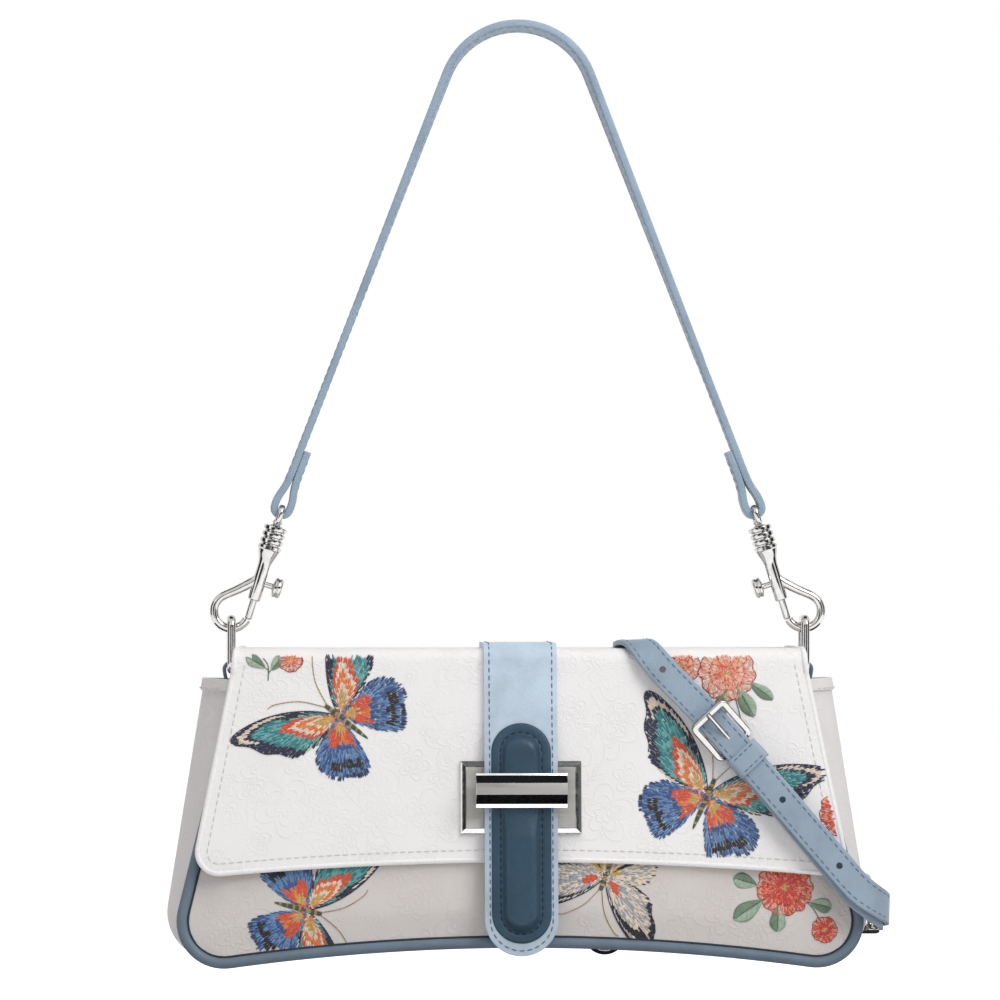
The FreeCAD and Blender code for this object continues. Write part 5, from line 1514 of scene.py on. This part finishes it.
eye_wire = rounded_line([(0, 0, 0), (0, 7.6, 0), (0, 7.6, -6.5), (0, -7.6, -6.5), (0, -7.6, 0), (0, -0.3, 0)],
                        [0, 2.2, 2.2, 2.2, 2.2, 0], 0.8)[:-1]
eye_loop = round_bar("eye_loop", eye_wire, np.full(len(eye_wire), 1.3), True)
stem = turned("stem", [(-5.4, 0.0), (-5.4, 1.6), (-6.2, 2.1), (-7.0, 1.7), (-8.0, 1.5), (-12.5, 1.5), (-12.5, 0.0)])
eye_shape = joined("eye_shape", eye_loop, stem)
print("hook, gate and eye", [len(shape.data.polygons) for shape in (hook_shape, gate_shape, eye_shape)], "faces")

# %% [markdown]
# The hook is then copied to its four places: two on the shoulder strap, one at the end of the hank and one at the end
# of the anchor strap. Each copy has its own mesh.

# %% Four hooks in place
quarter = Matrix.Rotation(math.pi / 2, 4, "Z")
half_turn = Matrix.Rotation(math.pi, 4, "Z")
side_axes = Matrix(((1, 0, 0, 0), (0, 0, -1, 0), (0, 1, 0, 0), (0, 0, 0, 1)))
right_eye = Matrix.Translation((EYE_HALF, 0, EYE_LEVEL)) @ Matrix.Rotation(-HOOK_TILT, 4, "Y")
left_eye = Matrix.Translation((-EYE_HALF, 0, EYE_LEVEL)) @ Matrix.Rotation(HOOK_TILT, 4, "Y") @ half_turn
hank_eye = BACK @ Matrix.Translation((CROSS_HALF, last, HANK_LOW - HANK_EYE)) @ quarter
side_eye = FRONT @ Matrix.Translation((SIDE_X + ANCHOR_RISE, EYE_DEEP, SIDE_UP)) @ side_axes
HOOK_PLACES = (("right", right_eye, False, "shoulder_strap"), ("left", left_eye, False, "shoulder_strap"),
               ("hank", hank_eye, True, "bag"), ("side", side_eye, True, "flap"))
for name, place, turned_on, holder in HOOK_PLACES:
    for kind, shape, body in (("eye", eye_shape, holder), ("hook", hook_shape, "hook_" + name),
                              ("gate", gate_shape, "gate_" + name), ("spring", spring_shape, "hook_" + name)):
        piece = shape.copy()
        piece.data = shape.data.copy()
        piece.name = piece.data.name = kind + "_metal_" + name
        scene.collection.objects.link(piece)
        spot = place @ quarter if turned_on and kind != "eye" else place
        paint(seat(piece, spot), spring_steel if kind == "spring" else silver)
        node = kind + "_" + name
        rides(piece, body, "spring_steel" if kind == "spring" else "polished_silver", node)
        if kind == "spring":
            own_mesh(piece)
        low = [min(v.co[k] for v in piece.data.vertices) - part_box(node)[0][k] for k in range(3)]
        print(piece.name, "off its node by", [round(value / MM, 1) for value in low], "mm")
for item in (eye_shape, hook_shape, gate_shape, spring_shape):
    bpy.data.objects.remove(item)

# %% [markdown]
# The bright motifs are machine embroidery: butterflies, blossoms and leaves in satin stitch, which is many short
# threads side by side. One thread is a low ridge with a few faces. Wings and petals are fans: threads run out from a
# root, and the colour changes with the share of the way to the rim. The drawings are simple ones, made for this part.

# %% One embroidery thread and its colours
ridge = laid_flat(primitive("cylinder", "ridge", vertices=5, radius=0.5, depth=0.5))
pick_faces(ridge, lambda centre, normal: abs(normal.x) > 0.9)
bpy.ops.mesh.extrude_faces_move(TRANSFORM_OT_shrink_fatten={"value": 0.25})
bpy.ops.transform.resize(value=(1, 0.25, 0.25))
bpy.ops.object.mode_set(mode="OBJECT")
RIDGE = taken_shape(ridge)
sewing_thread, thread_tree, thread_shader = new_material("embroidery_thread", (0.5, 0.5, 0.5), 0.42)
dye = add_node(thread_tree, "Attribute", attribute_name="dye").outputs["Color"]
lustre = noise(thread_tree, own_place(thread_tree), 1400.0, 2.0)
shading = fed(thread_tree, "MixRGB", 0.6, dye, ramp(thread_tree, lustre, grey((0.3, 0.72), (0.6, 1.0))),
              blend_type="MULTIPLY")
dress(thread_tree, thread_shader, lustre, 0.3, 0.0001, shading)
thread_shader.inputs["Sheen Weight"].default_value = 0.25
NAVY, INK, TEAL, SEA = linear(38, 44, 78), linear(34, 34, 46), linear(54, 136, 142), linear(110, 182, 180)
CORAL, FLAME, OCHRE, CREAM = linear(222, 92, 62), linear(236, 132, 70), linear(214, 172, 96), linear(240, 222, 202)
SKY, COBALT, ROSE, BLUSH = linear(106, 146, 190), linear(60, 92, 148), linear(200, 58, 52), linear(240, 172, 152)
LEAF, MOSS, PALE_LEAF = linear(118, 142, 118), linear(82, 104, 84), linear(166, 188, 166)
SILVER_GREY = linear(170, 172, 178)
print("thread has", len(RIDGE[1]), "faces")

# %% [markdown]
# A motif is first drawn flat, as a list of threads: a place, a direction, a length, a width and a colour. A picture
# would be quicker, but it would blur close up, and real threads catch the light from each side. Seeded small shifts
# keep rows of threads from looking ruled.


# %% Fans, leaves and lines of thread
def closed_curve(points, count=220):
    """A smooth closed outline through the points given."""
    points = np.asarray(points, float)
    return spaced(smooth_line(np.vstack([points[-1:], points, points[:2]]), 0.4), count)


def fan(threads, rng, outline, root, dye_at, pitch=0.55, row=2.0, wide=0.62):
    """Fill an outline with threads that run out from a root inside it."""
    away = np.asarray(outline) - root
    angle = np.unwrap(np.arctan2(away[:, 1], away[:, 0]))
    order = np.argsort(angle)
    angle, reach = angle[order], np.linalg.norm(away, axis=1)[order]
    span = angle[-1] - angle[0]
    for radius in np.arange(row * 0.5, reach.max(), row):
        for turn in np.arange(angle[0], angle[-1], pitch / radius):
            turn = turn + rng.uniform(-0.2, 0.2) * pitch / radius
            far = np.interp(turn, angle, reach)
            near = radius + rng.uniform(-0.5, 0.5)
            if near > far - 0.3:
                continue
            way = np.array([math.cos(turn), math.sin(turn)])
            length = min(row * 1.35, 2 * (far - near) + 0.6)
            colour = np.array(dye_at(near / far, (turn - angle[0]) / span, rng)) * rng.uniform(0.86, 1.08)
            threads.append((*(root + way * near), *way, length, wide, *colour))


def drawn_line(threads, rng, points, colour, wide=0.6):
    """A thin line of end to end threads."""
    line = smooth_line(points, 0.8)
    for a, b in zip(line[:-1:2], line[2::2]):
        way = (b - a) / np.linalg.norm(b - a)
        threads.append((*((a + b) / 2), *way, 2.0, wide, *(np.array(colour) * rng.uniform(0.85, 1.1))))


def leaf(threads, rng, base, tip, wide):
    """Two rows of slanting threads either side of a midrib."""
    base, tip = np.asarray(base, float), np.asarray(tip, float)
    length = np.linalg.norm(tip - base)
    along = (tip - base) / length
    across = np.array([-along[1], along[0]])
    for side, shade in ((-1, LEAF), (1, PALE_LEAF)):
        for at in np.arange(0.6, length - 0.4, 0.5):
            half = wide * math.sin(math.pi * (at / length) ** 0.8) * 0.5
            if half < 0.4:
                continue
            way = along * 0.62 + across * side * 0.78
            middle = base + along * (at + half * 0.35) + across * side * half * 0.5
            colour = np.array(shade) * rng.uniform(0.82, 1.12)
            threads.append((*middle, *way, half * 1.25 + 0.5, 0.6, *colour))
    drawn_line(threads, rng, [base - along * 1.5, (base + tip) / 2, tip], MOSS, 0.45)


sample_leaf = []
leaf(sample_leaf, random.Random(1), (0, 0), (0, 12), 6.0)
print("one leaf", len(sample_leaf), "threads")

# %% [markdown]
# A drawn motif is turned, scaled and put in its place, still flat, and then pressed on to the cloth: each thread is
# dropped straight on to the surface below it and lies along it. Its colour is kept on its points, for the material.


# %% Pressing threads on to cloth
def moved(threads, place, angle, scale=1.0):
    """The same threads turned, scaled and put in another place."""
    turn = np.array([[math.cos(angle), -math.sin(angle)], [math.sin(angle), math.cos(angle)]])
    result = []
    for x, y, dx, dy, length, wide, *colour in threads:
        spot = turn @ (np.array([x, y]) * scale) + place
        way = turn @ np.array([dx, dy])
        result.append((*spot, *way, length * (0.5 + 0.5 * scale), wide, *colour))
    return result


def pressed_on(name, threads, cloth, keep):
    """Lay flat threads on a piece of cloth and join them in one mesh with their colours."""
    tree = BVHTree.FromPolygons([tuple(v.co) for v in cloth.data.vertices],
                                [tuple(p.vertices) for p in cloth.data.polygons])
    places, dyes = [], []
    inward = Vector(-FRONT_OUT)
    for x, y, dx, dy, length, wide, *colour in threads:
        if not keep(x, y):
            continue
        spot, normal, _, _ = tree.ray_cast(Vector(front(x, 30.0, y) * MM), inward)
        if spot is None:
            continue
        normal = np.array(normal) if normal.dot(inward) < 0 else -np.array(normal)
        way = np.array(front(x + dx, 0.0, y + dy) - front(x, 0.0, y))
        way -= normal * (way @ normal)
        way /= np.linalg.norm(way)
        centre = np.array(spot) / MM + normal * 0.10
        places.append([centre, way * length, np.cross(normal, way) * wide, normal * 0.5])
        dyes.append(colour)
    piece = paint(laid_copies(name, RIDGE, places), sewing_thread)
    dye_layer = piece.data.color_attributes.new("dye", "FLOAT_COLOR", "POINT")
    every = np.repeat(np.hstack([np.clip(dyes, 0, 1), np.ones((len(dyes), 1))]), len(RIDGE[0]), axis=0)
    dye_layer.data.foreach_set("color", every.ravel())
    print(name, len(places), "threads")
    return piece


print("tools for embroidery ready")

# %% [markdown]
# A butterfly has a body, two feelers and four wings. The fore wings go from an ochre root through flame and a pale
# band to teal and a dark rim with light flecks; the hind wings are blue with dark eyes and flame coloured rays. A
# second, grey kind has the same drawing in other colours.

# %% Butterfly
FORE_WING = [(1.0, 1.0), (6.0, 9.0), (15.0, 17.5), (26.0, 24.0), (37.0, 27.5), (40.5, 25.5), (36.5, 19.5),
             (35.0, 13.5), (30.5, 8.5), (28.0, 3.0), (19.0, -0.5), (9.0, -1.8), (3.0, -1.2)]
HIND_WING = [(1.0, -0.5), (8.0, -1.0), (17.0, -1.5), (23.5, -5.0), (25.5, -11.0), (23.0, -17.0), (19.0, -19.0),
             (16.0, -23.0), (11.0, -24.0), (7.5, -20.5), (4.0, -14.0), (1.2, -6.0)]


def beat(turn, count, half):
    """True in the middle part of each of a number of equal turns, for veins, rays and spots."""
    return abs((turn * count) % 1 - 0.5) < half


def fore_dye(share, turn, rng):
    """Colour of a fore wing at a share of the way out and a share of the turn."""
    if share > 0.80:
        fleck = abs(share - 0.89) < 0.035 and beat(turn, 11, 0.22)
        return CREAM if fleck else NAVY if rng.random() < 0.75 else INK
    if share > 0.52:
        return INK if share > 0.6 and beat(turn, 9, 0.09) else TEAL if rng.random() < 0.6 - (0.70 - share) else SEA
    if share > 0.42:
        return CORAL if turn > 0.15 else NAVY
    return CREAM if share > 0.34 else FLAME if share > 0.24 else CREAM if share > 0.18 else OCHRE


def hind_dye(share, turn, rng):
    """Colour of a hind wing."""
    if share > 0.93:
        return NAVY if rng.random() < 0.5 else COBALT
    if abs(share - 0.77) < 0.075 and beat(turn, 5, 0.17):
        return INK
    if share > 0.5:
        return SKY if rng.random() < 0.62 - (share - 0.5) * 0.6 else COBALT
    if share > 0.2:
        return CORAL if beat(turn, 8, 0.2 + (0.5 - share)) else COBALT if share > 0.38 else FLAME
    return OCHRE


def grey_fore(share, turn, rng):
    """Colour of a grey fore wing."""
    if share > 0.90 or abs(share - 0.72) < 0.08 and beat(turn, 4, 0.2):
        return INK
    return CORAL if share < 0.2 else SILVER_GREY if rng.random() < 0.55 else CREAM


def grey_hind(share, turn, rng):
    """Colour of a grey hind wing."""
    if share > 0.95 or beat(turn, 7, 0.07):
        return INK
    return OCHRE if share < 0.2 else CREAM if rng.random() < 0.6 else SILVER_GREY


def butterfly(seed, fore=fore_dye, hind=hind_dye, lean=0.86):
    """Threads of one butterfly, its head up, one pair of wings seen a little from the side."""
    rng = random.Random(seed)
    threads = []
    for flip, squeeze in ((1, 1.0), (-1, lean)):
        wing = []
        fan(wing, rng, closed_curve(HIND_WING), np.array([2.0, -2.5]), hind)
        fan(wing, rng, closed_curve(FORE_WING), np.array([3.0, 0.6]), fore)
        drawn_line(wing, rng, closed_curve(FORE_WING)[:150:6], INK, 0.5)
        threads += [(x * flip * squeeze, y, dx * flip, *rest) for x, y, dx, *rest in wing]
    for at in np.arange(-15.0, 6.0, 0.55):
        half = 1.25 * math.sqrt(max(0.05, 1 - ((at + 2.0) / 13.5) ** 2))
        shade = np.array(OCHRE if int(at) % 3 == 0 else MOSS) * rng.uniform(0.5, 0.8)
        threads.append((0.0, at, 1.0, 0.12, 2 * half, 0.7, *shade))
    for side in (-1, 1):
        feeler = [(side * 0.4, 5.5), (side * 5.0, 15.0), (side * 12.0, 22.0), (side * 16.0, 23.5)]
        drawn_line(threads, rng, feeler, np.array(OCHRE) * 0.55, 0.4)
    return threads


print("one butterfly", len(butterfly(3)), "threads")

# %% [markdown]
# A blossom is two rings of notched petals round a small middle, and a spray is a few leaves on their stems. Petals are
# fans like the wings, with a drawn rim.

# %% Blossom and spray
PETAL = ((0.35, 0.8), (0.75, 1.05), (0.98, 0.45), (0.90, 0.0), (1.0, -0.5), (0.72, -1.0), (0.35, -0.75))


def petal_dye(share, turn, rng):
    """Colour of a deep petal."""
    if share > 0.9:
        return BLUSH
    return ROSE if share < 0.5 else CORAL if rng.random() < 0.9 - share * 0.35 else BLUSH


def pale_petal_dye(share, turn, rng):
    """Colour of a pale petal."""
    if share < 0.3 or share > 0.93:
        return CORAL
    return BLUSH if rng.random() < 0.6 else FLAME if share < 0.6 else CREAM


def blossom(seed, size, dye_at, petals=6):
    """Two rings of notched petals and a small middle."""
    rng = random.Random(seed)
    threads = []
    for reach, count, shift in ((1.0, petals, 0.0), (0.62, petals - 1, 0.5)):
        for i in range(count):
            turn = 2 * math.pi * (i + shift) / count + rng.uniform(-0.15, 0.15)
            wide = 2.5 / count * size * reach * 1.25
            shape = [(0.1 * size, 0.0)] + [(long * size * reach, aside * wide) for long, aside in PETAL]
            part = []
            outline = closed_curve(shape, 120)
            fan(part, rng, outline, np.array([0.25 * size * reach, 0.0]), dye_at, 0.6, 1.7)
            drawn_line(part, rng, outline[20:100:4], np.array(ROSE) * 0.8, 0.45)
            threads += moved(part, np.zeros(2), turn)
    for _ in range(26):
        turn, near = rng.uniform(0, 2 * math.pi), rng.uniform(0, 0.16 * size)
        way = math.cos(turn), math.sin(turn)
        threads.append((near * way[0], near * way[1], *way, 1.1, 0.6, *(np.array(OCHRE) * rng.uniform(0.7, 1.1))))
    return threads


def spray(seed, leaves, stems):
    """Leaves with their stems, each leaf a base, a tip and a width."""
    rng = random.Random(seed)
    threads = []
    for points in stems:
        drawn_line(threads, rng, points, MOSS, 0.5)
    for base, tip, wide in leaves:
        leaf(threads, rng, base, tip, wide)
    return threads


print("one blossom", len(blossom(3, 10.0, petal_dye)), "threads")

# %% [markdown]
# The flap has two butterflies, four blossoms and two sprays of leaves, which end at its sewn edge and beside the
# closure strap. They are laid out on the flat front, across and up, and each has a seed of its own, so that one can be
# moved without a change in the others.

# %% Embroidery on the flap
FLAP_CLEAR, FLAP_SEWN, FLAP_FOLD, EDGE_HIGH, FLAP_ARCH, FLAP_RISE = 14.2, 44.5, 125.5, 118.0, FLAP[5], FLAP[7]
RIGHT_EDGE = 97  # points of an edge from its right top to a little past the middle of its foot
FLAP_EDGE = whole_edge(FLAP, 2.6, FLAP_START)[:RIGHT_EDGE][::-1]
on_flap = moved(butterfly(11), (-74.0, 102.0), math.radians(52), 1.02)
on_flap += moved(butterfly(12, lean=0.95), (76.0, 70.0), math.radians(-24), 1.04)
on_flap += spray(13, [((88, 113), (95, 101), 6.5), ((84, 112), (79, 100), 6.0), ((93, 115), (103, 108), 5.0)],
                 [[(80, 118), (86, 112), (90, 98)]])
on_flap += moved(blossom(14, 11.5, pale_petal_dye), (84.0, 119.0), 0.3)
on_flap += moved(blossom(15, 7.0, pale_petal_dye, 5), (66.0, 122.0), 0.9)
on_flap += spray(16, [((-103, 121), (-111, 126), 5.0), ((-101, 120), (-96, 126), 4.5)],
                 [[(-102, 116), (-102, 122), (-104, 125)]])
on_flap += moved(blossom(17, 10.0, petal_dye), (131.0, 62.0), 0.7)
on_flap += moved(blossom(18, 5.0, pale_petal_dye, 5), (-93.0, 124.5), 0.4)


def inside_flap(x, up):
    """True on the flap, inside its sewn edge and clear of the closure strap."""
    half = np.interp(min(up, EDGE_HIGH), FLAP_EDGE[:, 1], FLAP_EDGE[:, 0])
    return FLAP_CLEAR < abs(x) < half and FLAP_SEWN - FLAP_RISE * (x / FLAP_ARCH) ** 2 < up < FLAP_FOLD


bends_with_flap(pressed_on("flap_embroidery", on_flap, flap, inside_flap))

# %% [markdown]
# The same threads go on the front panel below the flap. They are sewn before the panel is joined, so they end at its
# piping and run a little way under the flap.

# %% Embroidery on the front
FRONT_CLEAR, FRONT_FOOT, FRONT_RISE, FRONT_TOP, EDGE_LOW, FRONT_ARCH = 13.0, 6.6, 4.5, 46.0, 15.0, SEAM[5]
FRONT_EDGE = whole_edge(SEAM, 3.6, 60.0)[:RIGHT_EDGE][::-1]
on_front = moved(butterfly(21, lean=0.9), (-86.0, 23.0), math.radians(-104), 0.92)
on_front += moved(butterfly(22, grey_fore, grey_hind), (34.0, 36.0), math.radians(160), 0.86)
on_front += spray(23, [((98, 27), (86, 19), 7.5), ((104, 25), (104, 14), 6.5), ((117, 26), (126, 24), 6.0),
                       ((96, 33), (86, 36), 6.5)], [[(108, 32), (118, 24), (122, 16)]])
on_front += moved(blossom(24, 11.5, petal_dye, 7), (107.0, 32.0), 0.2)
on_front += moved(blossom(25, 5.2, petal_dye, 5), (123.0, 15.0), 0.5)


def inside_front(x, up):
    """True on the front panel, inside its piping and clear of the closure strap."""
    half = np.interp(max(up, EDGE_LOW), FRONT_EDGE[:, 1], FRONT_EDGE[:, 0])
    return FRONT_CLEAR < abs(x) < half and FRONT_FOOT + FRONT_RISE * (1 - (x / FRONT_ARCH) ** 2) < up < FRONT_TOP


rides(pressed_on("front_embroidery", on_front, front_cloth, inside_front), "bag")
